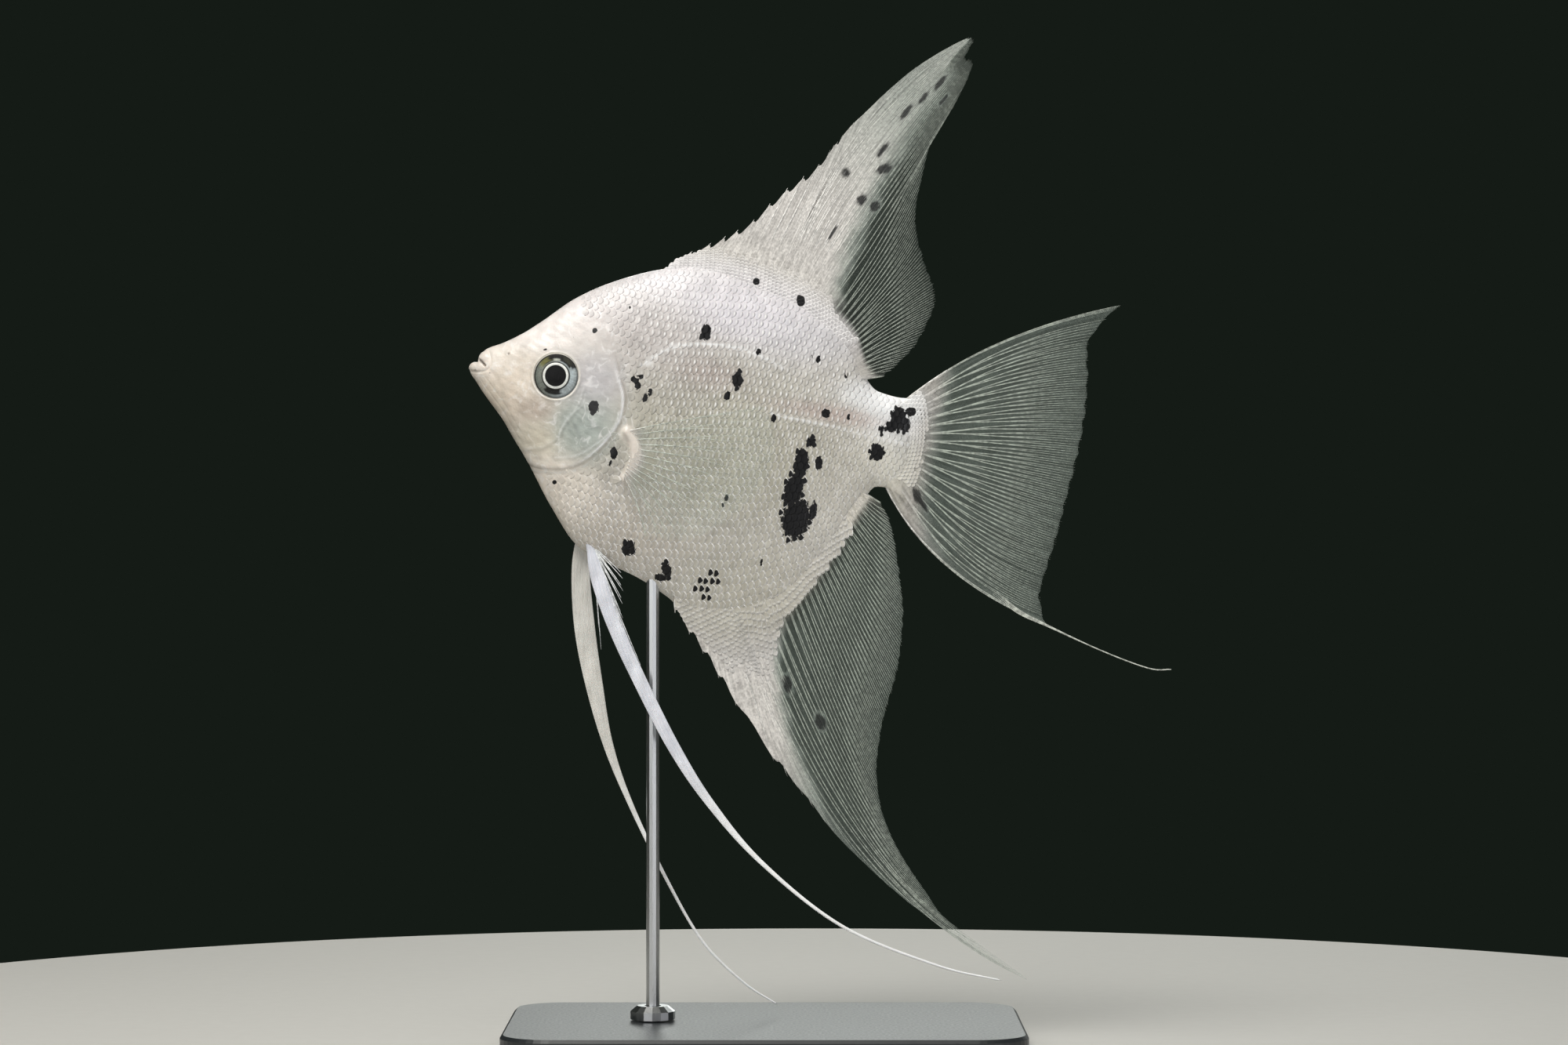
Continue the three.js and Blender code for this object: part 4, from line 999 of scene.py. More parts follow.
caudal = {
    "rays": [
        [77.5, 7.2, 92.5, 20.5, 112.6, 30.8], [78, 5.5, 93, 17, 108.4, 24], [78.5, 4, 94, 12.5, 109.2, 17.5],
        [79, 2.3, 94.5, 7.5, 109.9, 10.8], [79.2, .5, 94.8, 2.5, 109.9, 3.8],
        [79.2, -1.2, 94.5, -2.8, 109.3, -4], [79, -2.8, 94, -8.2, 108.7, -11.2],
        [78.7, -4.3, 93.5, -13.5, 107.9, -17.5], [78.3, -5.7, 92.8, -17.5, 107.5, -23],
        [77.2, -8.8, 90.5, -20.8, 109.6, -27.8],
    ],
    "spines": 0, "softRays": 17, "splits": [0.07, 0.24, 0.46], "spread": [0.25, 0.125, 0.0625],
    "webSteps": 60, "base": 0.9, "edge": lambda s, h: s - 79,
    "sheath": [[83.3, 14.5], [82.8, 6], [82.6, 0], [82.2, -6], [83.6, -14], [91, -22.8], [108, -29.6]],
    "clear": 0.09, "milky": 0.46, "soften": 3.2, "dip": 0.5, "fade": [6, 30, 0.5], "net": [0.5, 2, 6],
    "inward": -1, "root": 2.5, "hidden": 1.6,
    "rayCover": 0.46, "rayFoot": 0.22, "rayTip": 0.055, "rayDepth": 0.8,
    "scales": {"reach": 4.0, "gap": 0.6, "length": 1.2, "height": 0.85},
    "spots": [[82.6, -9.0, 0.8, 1.6, 30], [84.1, -10.6, 0.5, 1.5, 40], [80.6, 5.5, 0.9, 1.2, 30]],
    "sway": lambda s, h: 0.9 * np.sin(h / 12 + 0.5) * np.maximum(0, (s - 80) / 30),
}
pectoral = {
    "rays": [
        [30.2, -6.6, 41.5, -2.4, 53.4, 1.7], [31, -8, 43.5, -5.2, 56.4, -3.5],
        [31.6, -9.6, 44, -9.2, 56.3, -9.5], [31.9, -11.2, 43.3, -12.8, 54.2, -14.6],
        [31.9, -12.8, 41.2, -16, 50, -19.6],
        [31.6, -14.2, 38, -18.6, 44, -24.1], [31.2, -15.4, 34, -19.6, 36.3, -24.7],
    ],
    "spines": 0, "softRays": 13, "splits": [0.3, 0.7], "spread": [0.22, 0.1], "webSteps": 40,
    "base": 0.15, "edge": lambda s, h: s - 31,
    "sheath": [[31, -6], [33.2, -11], [31, -16]],
    "clear": 0.04, "milky": 0.34, "soften": 1.6, "dip": 0.3, "fade": [20, 40, 0], "net": [0, 1, 2],
    "inward": -1, "root": 0.6, "rayCover": 0.8, "rayFoot": 0.1, "rayTip": 0.05, "rayDepth": 1.0, "spots": [],
    "sway": lambda s, h: 6.9 + 0.15 * np.maximum(0, s - 31),
}
finTints = {"milky": "#D3CFCA", "clear": "#B9C6BC", "ray": "#D3DACF", "ink": "#101113"}
backEdge, bellyEdge = np.linspace(28, 76, 60), np.linspace(38, 79, 60)
dorsal["outline"] = np.stack([backEdge, bodyLine["top"](backEdge)], -1)
anal["outline"] = np.stack([bellyEdge, bodyLine["bottom"](bellyEdge)], -1)
caudal["outline"] = np.array([[79.0, -9.0], [79.0, 8.0]])
for fin in (dorsal, anal, caudal):
    fin["spots"] += spotsLeft  # the body's spots reach on to the foot of a fin


def rayAt(rays, row):
    i = np.clip(np.floor(row).astype(int), 0, len(rays) - 2)
    a, b, c, d = [rays[np.clip(i + k, 0, len(rays) - 1)] for k in (-1, 0, 1, 2)]
    t = (row - i)[..., None]
    return b + 0.5 * t * (c - a + t * (2 * a - 5 * b + 4 * c - d + t * (3 * (b - c) + d - a)))


def finAt(fin, row, u):  # the place [s, h] at u along the ray numbered row, foot 0, middle 0.5, tip 1
    row, u = np.broadcast_arrays(np.asarray(row, float), np.asarray(u, float))
    s0, h0, s1, h1, s2, h2 = np.moveaxis(rayAt(np.array(fin["rays"], float), row), -1, 0)
    a, b, c = (1 - u) * (1 - 2 * u), 4 * u * (1 - u), u * (2 * u - 1)
    return a * s0 + b * s1 + c * s2, a * h0 + b * h1 + c * h2


def rayRows(fin):  # the spines have rows of their own, the soft rays stand evenly apart beside each other
    last, first = len(fin["rays"]) - 1, max(fin["spines"] - 1, 0)
    fine = np.linspace(first, last, 400)
    stride = np.zeros(len(fine) - 1)
    for u in (0.2, 0.5, 0.9):
        place = np.array(finAt(fin, fine, u))
        heading = np.array(finAt(fin, fine, u + 0.02)) - place
        heading /= np.hypot(*heading)
        ahead = np.diff(place, axis=1)
        stride += np.abs(ahead[0] * heading[1, 1:] - ahead[1] * heading[0, 1:])
    share = np.r_[0, np.cumsum(stride)] / stride.sum()
    soft = np.interp(np.linspace(0, 1, fin["softRays"] + (1 if fin["spines"] else 0)), share, fine)
    return np.r_[np.arange(first), soft]


def finCover(fin, s, h):  # how milky the web is: full on the sheath side of its edge, low beyond it
    edge = lineThrough(fin["sheath"])
    away, along = distanceTo(edge, s, h)
    k = np.clip((along * (len(edge) - 1)).astype(int), 0, len(edge) - 2)
    a, d = edge[k], edge[k + 1] - edge[k]
    turned = np.sign(d[..., 0] * (h - a[..., 1]) - d[..., 1] * (s - a[..., 0]))
    inward = turned * fin["inward"] * away
    return mixed(fin["clear"], fin["milky"], ramp(-fin["soften"], fin["soften"] * 0.5, inward))


def milkiness(fin, cover):  # the same as a share, 0 where the web is clear and 1 where it is milky
    return (cover - fin["clear"]) / (fin["milky"] - fin["clear"])


def beyondBody(fin, s, h):  # millimetres outside the body's outline, below 0 inside it
    away = gapTo(fin["outline"], s, h)
    return np.where(fin["edge"](s, h) > 0, away, -away)


thinWeb = 0.035  # half the thickness of a web at its outer edge


def webThickness(fin, away):  # half of it, thick in the body's edge so that body and fin run together
    return thinWeb + fin["base"] * (0.55 * (1 - ramp(-1, 6, away)) + 0.45 * (1 - ramp(-2, 13, away)))


def finInk(fin, s, h):
    return ramp(-0.1, 0.13, depthInSpots(fin["spots"], s, h) + 0.12 * wobble(s, h, 0.6, 13))


def webPiece(name, fin, side=1, perRay=5):  # up one side of the web and down the other, then the next strip
    rows = rayRows(fin)
    columns = perRay * (len(rows) - 1)
    around = 2 * fin["webSteps"] + 2
    web, u, v = flatGrid(name, columns, around)
    place = u * (len(rows) - 1)
    row = np.interp(place, np.arange(len(rows)), rows)
    ring = np.round(v * around).astype(int) % around
    near = ring <= fin["webSteps"]
    along = np.where(near, ring, 2 * fin["webSteps"] + 1 - ring) / fin["webSteps"]
    tipS, tipH = finAt(fin, row, 1.0)
    footS, footH = finAt(fin, row, 0.0)
    length = np.hypot(tipS - footS, tipH - footH)
    between = np.sin(np.pi * (place % 1)) ** 2  # the edge dips between two rays, most between two spines
    spiny = place < fin["spines"] - 0.5
    dip = np.where(spiny, fin["dip"] * between + 0.5, 0.32 * between + 0.1)
    dip = dip + 0.22 * dice.uniform(0, 1, columns + 1)[np.round(u * columns).astype(int)] * ~spiny
    reach = mixed(-fin["root"] / length, 1 - dip / length, along ** 1.15)
    s, h = finAt(fin, row, reach)
    away = beyondBody(fin, s, h) if "outline" in fin else reach * length
    shut = (u < 1e-6) | (u > 1 - 1e-6)
    thick = np.where(shut, 0, webThickness(fin, away))
    placeVertices(web, toWorld(s, side * fin["sway"](s, h) + np.where(near, -thick, thick), h))
    strength, full, gone = fin["net"]
    net = strength * milkiness(fin, finCover(fin, s, h)) * mixed(1, 0.2, ramp(full, gone, away))
    net = net * (1 - finInk(fin, s, h))
    paintVectors(web, "fan", np.stack([place, reach * length / 40, net], -1))
    closeUp(web)
    return web


def paintFin(made, fin, isRay):
    s, y, h = fromWorld(vertexPlaces(made))
    streaks = 0.9 * wobble(s * 0.9 - h * 0.35, h * 0.9 + s * 0.35, 3.2, 21)
    away = fin["edge"](s, h)
    milk = milkiness(fin, finCover(fin, s + 0.5 * streaks, h))
    milk = np.maximum(milk, 0.9 * (1 - ramp(0, 3, away)))
    low, high, loss = fin["fade"]
    milk = milk * (1 - loss * ramp(low, high, away))
    if isRay:
        tone = mixed(linear(finTints["ray"]), linear("#F3F1EC"), milk[:, None])
        cover = mixed(0.8, 0.26, ramp(33, 52, s)) if fin is pectoral else mixed(fin["rayCover"], 0.9, milk)
    else:
        tone = mixed(linear(finTints["clear"]), linear(finTints["milky"]), milk[:, None])
        cover = mixed(fin["clear"], fin["milky"], milk)
        if fin is not pectoral:
            tone = mixed(skinTone(s, h), tone, ramp(0, 7, away)[:, None])
    ink = finInk(fin, s, h)
    paint(made, "tone", tinted(tone, finTints["ink"], 0.93 * ink))
    paint(made, "cover", np.maximum(cover, 0.85 * ink))


# A thread for rays and fin tips: a ring of corners is extruded along, ring by ring, and shut at both ends.
def threadModel(rings, corners):
    bpy.ops.object.select_all(action="DESELECT")
    bpy.ops.mesh.primitive_circle_add(vertices=corners, radius=1, fill_type="NGON")
    thread = bpy.context.active_object
    bpy.ops.object.mode_set(mode="EDIT")
    for _ in range(rings - 1):
        bpy.ops.mesh.extrude_region_move(TRANSFORM_OT_translate={"value": (0, 0, 1)})
    bpy.ops.mesh.select_all(action="SELECT")
    bpy.ops.mesh.normals_make_consistent(inside=False)
    bpy.ops.object.mode_set(mode="OBJECT")
    bpy.ops.object.shade_smooth()
    return thread


def threads(name, lines, flat, deep, spots, corners=5):
    # lines is (threads, rings, [s, y, h]); flat and deep are half sizes in the fin's plane and across it
    rings = lines.shape[1]
    model = threadModel(rings, corners)
    form = vertexPlaces(model)
    ring = np.round(form[:, 2] - form[:, 2].min()).astype(int)
    heading = np.gradient(lines, axis=1)
    heading /= np.maximum(np.linalg.norm(heading, axis=2, keepdims=True), 1e-9)
    across = np.cross(heading, [0.0, 1.0, 0.0])
    across /= np.maximum(np.linalg.norm(across, axis=2, keepdims=True), 1e-9)
    side = np.cross(heading, across)
    places = (lines[:, ring] + across[:, ring] * (flat[:, ring] * form[:, 0])[..., None]
              + side[:, ring] * (deep[:, ring] * form[:, 1])[..., None])
    u = spots[:, None, 0] + 0.0006 * form[None, :, 0]
    v = spots[:, None, 1] + (spots[:, None, 2] - spots[:, None, 1]) * (ring / (rings - 1))[None]
    made = joinedCopies(name, model, toWorld(*np.moveaxis(places, -1, 0)), np.stack([u + 0 * v, v], -1))
    bpy.data.objects.remove(model)
    return made


def raySpans(fin, isSpine):  # the threads that a ray forks into: start, end, and the way taken at each fork
    if isSpine:
        return [(0.0, 1.0, [])]
    cuts = [0.0, *fin["splits"], 1.0]
    spans = []
    for level in range(len(cuts) - 1):
        for branch in range(2 ** level):
            ways = [1 if branch >> fork & 1 else -1 for fork in range(level)]
            spans.append((cuts[level] - 0.02 * (level > 0), cuts[level + 1], ways))
    return spans


def raysPiece(name, fin, side=1, rings=36):
    rows = rayRows(fin)
    last = len(fin["rays"]) - 1
    lines, thins, spots = [], [], []
    for k, row in enumerate(rows):
        gap = (rows[min(k + 1, len(rows) - 1)] - rows[max(k - 1, 0)]) / 2
        isSpine = k < fin["spines"] - 1
        foot, tip = [np.array(finAt(fin, row, u)) for u in (0.0, 1.0)]
        length = float(np.hypot(*(tip - foot)))
        for start, end, ways in raySpans(fin, isSpine):
            isTip = end == 1
            stop = 1 - dice.uniform(0, 0.5) / length if isTip and not isSpine else end
            u = np.linspace(start if start else -0.9 / length, stop, rings)
            shift = 0 * u
            for way, fork, spread in zip(ways, fin["splits"], fin["spread"]):
                shift += way * spread * ramp(fork - 0.02, min(1.0, fork + 0.4), u)
            at = np.clip(row + gap * shift, 0, last)
            s, h = finAt(fin, at, u)
            thin = mixed(fin["rayFoot"], fin["rayTip"], np.clip(u, 0, 1)) * 0.82 ** len(ways)
            thin *= 1.5 if isSpine else 1
            if isTip:
                thin *= np.sqrt(np.clip((stop - u) / (stop - u[0]) * 6 + 0.08, 0, 1))
            lines.append(np.stack([s, side * fin["sway"](s, h), h], -1))
            thins.append(thin)
            spots.append([(at[0] + 0.5) / (last + 1), u[0] * 0.9 + 0.05, stop * 0.9 + 0.05])
    thins = np.array(thins)
    made = threads(name, np.array(lines), thins, thins * fin["rayDepth"], np.array(spots))
    fixNormals(made)
    return made


sheathScale = {"sink": 0.04, "lift": 0.06, "thickness": 0.016, "settle": 0.03, "breadth": 1.35, "start": -1.6}


def sheathRoots(fin):  # ray and distance out for each scale, in rows that follow the foot of the fin
    look = fin["scales"]
    fine = np.linspace(0.3, len(fin["rays"]) - 1.3, 500)
    footS, footH = finAt(fin, fine, 0.0)
    tipS, tipH = finAt(fin, fine, 1.0)
    span = np.hypot(tipS - footS, tipH - footH)
    places = []
    for k in range(int((look["reach"] + fin["hidden"]) / look["gap"])):
        away = sheathScale["start"] + look["gap"] * k
        s, h = finAt(fin, fine, away / span)
        run = np.r_[0, np.cumsum(np.hypot(np.diff(s), np.diff(h)))]
        spots = np.arange(0.5 * (k % 2) + 0.3, run[-1] / look["height"] - 0.3) * look["height"] * 0.86
        spots = spots + dice.uniform(-0.05, 0.05)
        spots = spots[spots < run[-1]]
        places.append(np.stack([np.interp(spots, run, fine), np.full(len(spots), away)], -1))
    row, away = np.concatenate(places).T
    return row, away, np.interp(row, fine, span)


def sheathScales(name, fin, side):  # the coat runs on over the foot of a fin
    look = fin["scales"]
    row, away, rayLength = sheathRoots(fin)
    s, h = finAt(fin, row, away / rayLength)
    aheadS, aheadH = finAt(fin, row, (away + 0.5) / rayLength)
    milk = milkiness(fin, finCover(fin, s, h))
    keep = away < 0.72 * rayLength
    away = beyondBody(fin, s, h)
    keep &= (away > -3.6) & (away < 0.8 + look["reach"] * ramp(0.2, 0.8, milk))
    share = away / look["reach"]
    keep &= dice.uniform(0, 1, len(keep)) > 0.75 * ramp(0.55, 1.1, share)  # the last rows are broken
    row, s, h, aheadS, aheadH, away, share = [x[keep] for x in (row, s, h, aheadS, aheadH, away, share)]
    count = len(s)
    heading = np.stack([aheadS - s, aheadH - h], -1)
    heading /= np.linalg.norm(heading, axis=1, keepdims=True)
    size = (mixed(1, 0.62, np.clip(share, 0, 1)) * dice.uniform(0.93, 1.07, count))[:, None]
    ahead = 0.5 * look["length"] * plateTip[None] * size
    aside = 0.5 * look["height"] * sheathScale["breadth"] * plateAcross[None] * size
    alongs = s[:, None] + heading[:, :1] * ahead - heading[:, 1:] * aside
    heights = h[:, None] + heading[:, 1:] * ahead + heading[:, :1] * aside
    rise = mixed(-sheathScale["sink"], sheathScale["lift"], plateAlong)
    rise = rise + sheathScale["thickness"] * plateForm[:, 2]
    rise = rise[None] - sheathScale["settle"] * ramp(0.4, 1, share)[:, None]
    thick = webThickness(fin, beyondBody(fin, alongs, heights))
    across = fin["sway"](alongs, heights) + side * (thick + rise)
    foot = [0.2 + row / (len(fin["rays"]) - 1) * 0.6, 0.1 + away / 40 + (0.5 if side > 0 else 0)]
    spots = np.stack(foot, -1)[:, None] + platePatch[None]
    made = joinedCopies(name, plate, toWorld(alongs, across, heights), spots)
    fixNormals(made)
    tone = mixed(skinTone(alongs, heights), linear(finTints["milky"]), ramp(0, 7, away)[:, None, None])
    paint(made, "tone", (tone * dice.normal(1, 0.05, (count, 1, 1))).reshape(-1, 3))
    paintVectors(made, "form", np.tile(plateForm, (count, 1)))
    calm = 1 - 0.5 * ramp(0.3, 1, share)
    # the fleck here too is pearly tint with a painted highlight
    marks = np.stack([0 * s, dice.uniform(0.2, 0.6, count) * calm, dice.uniform(0.4, 0.7, count) * calm], -1)
    paintVectors(made, "marks", np.repeat(marks, alongs.shape[1], axis=0))
    paint(made, "solid", depthInSpots(sideSpots[side][0], alongs, heights).ravel() - 0.1)
    return made


for node, fin, side in (("dorsal_fin", dorsal, 1), ("anal_fin", anal, 1), ("caudal_fin", caudal, 1),
                        ("pectoral_fin_left", pectoral, -1), ("pectoral_fin_right", pectoral, 1)):
    web = webPiece(node + "_web", fin, side)
    paintFin(web, fin, False)
    finishPiece(web, finWeb, "fin_web", node)
    rays = raysPiece(node + "_rays", fin, side)
    paintFin(rays, fin, True)
    finishPiece(rays, finRay, "fin_web")
for side, where in ((-1, "left"), (1, "right")):
    for kind, fin in (("dorsal", dorsal), ("anal", anal), ("caudal", caudal)):
        coat = sheathScales(kind + "_sheath_scales_" + where, fin, side)
        finishPiece(coat, scalePearl, "scaly_skin")
bpy.data.objects.remove(plate)
print("fins made")


# Pelvic fins: a narrow, creased blade that runs out into a streamer, with shorter rays at its side.
pelvic = {
    "course": {  # s, h and breadth down the blade of each side
        -1: [[26.0, -26.6, 1.0], [26.9, -28.6, 1.4], [28.0, -31.0, 2.2], [29.7, -34.4, 2.8],
             [33.2, -40.6, 2.7], [38.1, -47.9, 2.5], [47.4, -60.3, 2.2], [56, -69.5, 1.5],
             [67, -78.3, 0.8], [82.7, -86.6, 0.55], [100.3, -90.4, 0.42], [112, -91.0, 0.28]],
        1: [[25.2, -25, 2.5], [25.6, -32.3, 3.2], [28.1, -42.6, 3.7], [31.6, -52.6, 3.1],
            [35.9, -62.7, 1.8], [41.6, -72.4, 0.95], [50.7, -85.2, 0.6], [58.9, -94.9, 0.5],
            [67.3, -100.8, 0.4], [74, -103.7, 0.28]]},
    "shortRays": {  # the tips of the short rays: s, h
        -1: [[33.0, -31.7], [33.5, -32.7], [33.4, -33.9], [33.9, -34.8], [33.8, -36.1], [34.2, -37.1],
             [34.1, -38.5], [34.7, -39.6], [34.9, -41.2], [36.0, -43.2], [37.6, -45.6], [39.3, -47.3]],
        1: [[28.9, -34.5], [29.8, -38.5], [30.6, -42.2], [31.7, -46.0]]},
    # the far blade's tints are darker as painted shade
    "shades": {-1: ["#B7BBC8", "#EBECF1"], 1: ["#B8B6AE", "#E6E4DE"]},  # the far one lies in shade
    "rootSide": 1.6, "tipSide": 7.5, "creases": 11, "along": 180, "around": 96,
}


def pelvicPiece(name, side):
    blade, u, v = flatGrid(name, pelvic["along"], pelvic["around"])
    line = lineThrough(pelvic["course"][side], 24)
    run = np.r_[0, np.cumsum(np.hypot(*np.diff(line[:, :2], axis=0).T))]
    share = np.linspace(0, 1, 400)
    line = np.stack([np.interp(share * run[-1], run, column) for column in line.T], -1)
    heading = np.gradient(line[:, :2], axis=0)
    heading /= np.linalg.norm(heading, axis=1, keepdims=True)
    s, h, breadth, headS, headH = [np.interp(u, share, column) for column in (*line.T, *heading.T)]
    turn = 2 * np.pi * v
    across = np.cos(turn)
    crease = 1 + 0.22 * np.cos(np.pi * pelvic["creases"] * across + 0.6) * ramp(0.6, 1.5, breadth)
    deep = mixed(0.34, 0.14, ramp(0, 0.75, u)) * crease * np.sin(turn)
    shut = (u < 1e-6) | (u > 1 - 1e-6)
    aside, deep = np.where(shut, 0, across * breadth / 2), np.where(shut, 0, deep)
    y = side * mixed(pelvic["rootSide"], pelvic["tipSide"], u) + deep
    placeVertices(blade, toWorld(s - headH * aside, y, h + headS * aside))
    paint(blade, "across", across)
    closeUp(blade)
    return blade


def paintPelvic(made, side):
    s, y, h = fromWorld(vertexPlaces(made))
    across = painted(made, "across")
    winding = across + 0.09 * wobble(across * 4, h * 0.1, 1.7, 30)
    lines = 0.5 + 0.5 * np.cos(np.pi * pelvic["creases"] * winding)
    fine = 0.5 + 0.5 * wobble(across * 9, h * 0.12, 0.9, 33)
    # the far blade's darker pair is painted shade
    dark, light = [linear(tint) for tint in pelvic["shades"][side]]
    tone = mixed(dark, light, (0.32 + 0.25 * lines + 0.43 * fine)[:, None])
    tone = tone * (1 + 0.05 * wobble(s * 1.5, h * 0.3, 3, 32))[:, None]
    paint(made, "tone", tinted(tone, "#FDFDFC", ramp(-60, -80, h)))
    paint(made, "solid", np.full(len(s), noSpot))


def pelvicShortRays(name, side, rings=12):
    rootS, rootH, _ = pelvic["course"][side][0]
    t = np.linspace(0, 1, rings)
    y = side * (pelvic["rootSide"] + 1.2 * t)
    lines = []
    for k, tip in enumerate(pelvic["shortRays"][side]):
        foot = np.array([rootS + 0.9 + 0.1 * k, rootH - 1.2 - 0.12 * k])
        bend = (foot + tip) / 2 + np.array([0.5, -0.1]) * (1 - 0.17 * k)
        s, h = np.outer((1 - t) ** 2, foot).T + np.outer(2 * t * (1 - t), bend).T + np.outer(t ** 2, tip).T
        lines.append(np.stack([s, y, h], -1))
    thin = np.tile(mixed(0.17, 0.04, t), (len(lines), 1))
    spots = np.array([[0.1 + 0.05 * k, 0.1, 0.9] for k in range(len(lines))])
    made = threads(name, np.array(lines), thin, thin, spots)
    fixNormals(made)
    return made


for side, where in ((-1, "left"), (1, "right")):
    blade = pelvicPiece("pelvic_blade_" + where, side)
    paintPelvic(blade, side)
    finishPiece(blade, finBlade, "fin_web", "pelvic_fin_" + where)
    shortRays = pelvicShortRays("pelvic_short_rays_" + where, side)
    paintEvenly(shortRays, "#F1F3F3", 0.9)
    finishPiece(shortRays, finRay, "fin_web")


# The long filament at the lower corner of the tail: a few rays that run out together.
filament = {"course": [[99, -23.6], [104, -26.3], [109.6, -27.9], [119.9, -30.6], [128.6, -32.2],
                       [132.6, -31.7]],
            "threads": [[-0.25, 0.72], [-0.05, 1.0], [0.15, 0.85], [0.3, 0.55]],  # how far beside and out
            "foot": 0.132, "tip": 0.10, "rings": 30}


def filamentPiece(name):
    course = lineThrough(filament["course"], 6)
    share = np.linspace(0, 1, len(course))
    fromFoot = np.linspace(0, 1, filament["rings"])
    lines, thins, spots = [], [], []
    for k, (beside, end) in enumerate(filament["threads"]):
        t = fromFoot * end
        s, h = [np.interp(t, share, column) for column in course.T]
        h = h + beside * (1 - ramp(0, 0.6, t)) * 1.6
        thin = mixed(filament["foot"], filament["tip"], fromFoot ** 0.7)
        lines.append(np.stack([s, caudal["sway"](s, h), h], -1))
        thins.append(thin * (0.15 + 0.85 * ramp(0, 0.2, t)))
        spots.append([0.2 + 0.2 * k, 0.1, 0.9])
    thins = np.array(thins)
    made = threads(name, np.array(lines), thins, thins * 1.1, np.array(spots))
    fixNormals(made)
    return made


tailFilament = filamentPiece("tail_filament")
paintEvenly(tailFilament, "#CDD1C7", 0.92)
finishPiece(tailFilament, finRay, "fin_web")
print("pelvic fins and filament made")


# Eyes: a painted ball with its rings, and a clear domed cornea over it.
eyeRadii = through([[0, 0], [0.16, 1.78], [0.18, 1.86], [0.24, 2.30], [0.26, 2.40], [0.5, 3.95], [0.53, 4.02],
                    [0.6, 3.9], [0.8, 2.6], [1, 0]])
eyeHeights = through([[0, 0.52], [0.16, 0.42], [0.18, 0.50], [0.21, 0.56], [0.24, 0.48], [0.27, 0.30],
                      [0.5, -0.02], [0.53, -0.12], [0.6, -0.6], [0.8, -2.0], [1, -2.6]])


def eyePlaces(radius, turn, rise, side):  # turn 0 is forwards, a quarter turn is up
    s, h = -radius * np.cos(turn), radius * np.sin(turn)
    c, k = math.cos(eyeSize["tilt"]), math.sin(eyeSize["tilt"])  # the eyes look a little forwards
    y = side * (eyeSize["rim"] + rise * c + s * k)
    return toWorld(eyeSize["s"] + s * c - rise * k, y, eyeSize["h"] + h)


# Marks on the iris: the middle and reach in degrees, from which radius to which, strength, tint. The rings
# after them have the radius where they start, the radius where they are full, strength, tint.
irisMarks = [
    [90, 56, 2.75, 4.2, 0.97, "#14110D"], [266, 30, 2.3, 3.3, 0.95, "#15130F"],
    [140, 16, 2.9, 3.7, 0.6, "#8C8A52"], [62, 12, 3.1, 3.8, 0.5, "#4A4A3A"],
    [185, 30, 3.3, 3.9, 0.45, "#5F6A62"], [0, 28, 2.6, 3.2, 0.35, "#C7D4D8"],
    [98, 7, 2.75, 3.05, 0.8, "#D9DBCF"],
]
eyeRings = [
    [3.93, 3.98, 1, "#E4DFCF"], [2.66, 2.46, 0.95, "#24221F"], [2.36, 2.30, 1, "#F6F7F1"],
    [1.93, 1.86, 1, "#060607"],
]


def degreesApart(turn, middle):
    return np.abs((turn - middle + 180) % 360 - 180)


def eyeBall(name, side):
    ball, u, v = flatGrid(name, 120, 96)
    radius = eyeRadii(u)
    placeVertices(ball, eyePlaces(radius, 2 * np.pi * v, eyeHeights(u) + 0.05, side))
    paint(ball, "ringAt", radius * np.where(u > 0.53, 2, 1))  # the back of the ball counts as outside
    closeUp(ball)
    s, y, h = fromWorld(vertexPlaces(ball))
    ringAt = painted(ball, "ringAt")
    back = s - eyeSize["s"]
    turn = np.degrees(np.arctan2(h - eyeSize["h"], back)) % 360  # 0 tailwards, 90 up, 180 to the lips
    tone = mixed(linear("#7C8078"), linear("#AFB8B9"), ramp(-2.4, 2, back)[:, None])
    fibres = 0.2 * wobble(turn * 0.12, ringAt * 0.7, 1.1, 41) + 0.08 * wobble(turn * 0.3, ringAt, 0.8, 42)
    tone = tone * (1 + fibres)[:, None]
    for middle, reach, low, high, strength, tint in irisMarks:
        apart = degreesApart(turn, middle) + 5 * wobble(ringAt, turn * 0.05, 0.9, int(middle))
        onRing = ramp(low - 0.18, low + 0.12, ringAt) * ramp(high + 0.2, high - 0.1, ringAt)
        tone = tinted(tone, tint, strength * ramp(reach + 9, reach - 5, apart) * onRing)
    edgeShade = 0.4 + 0.55 * ramp(50, -10, degreesApart(turn, 140) - 70)
    tone = tinted(tone, "#2A2621", ramp(3.58, 3.76, ringAt) * edgeShade)
    for start, full, strength, tint in eyeRings:
        tone = tinted(tone, tint, strength * ramp(start, full, ringAt))
    paint(ball, "tone", tone)
    return ball


def cornea(name, side):
    dome, u, v = flatGrid(name, 40, 64)
    radius = eyeSize["cornea"] * np.sin(np.pi * u)
    rise = 0.12 + np.where(u < 0.5, 0.98, 0.9) * np.abs(np.cos(np.pi * u))  # outer face, then inner face
    placeVertices(dome, eyePlaces(radius, 2 * np.pi * v, rise, side))
    closeUp(dome)
    return dome


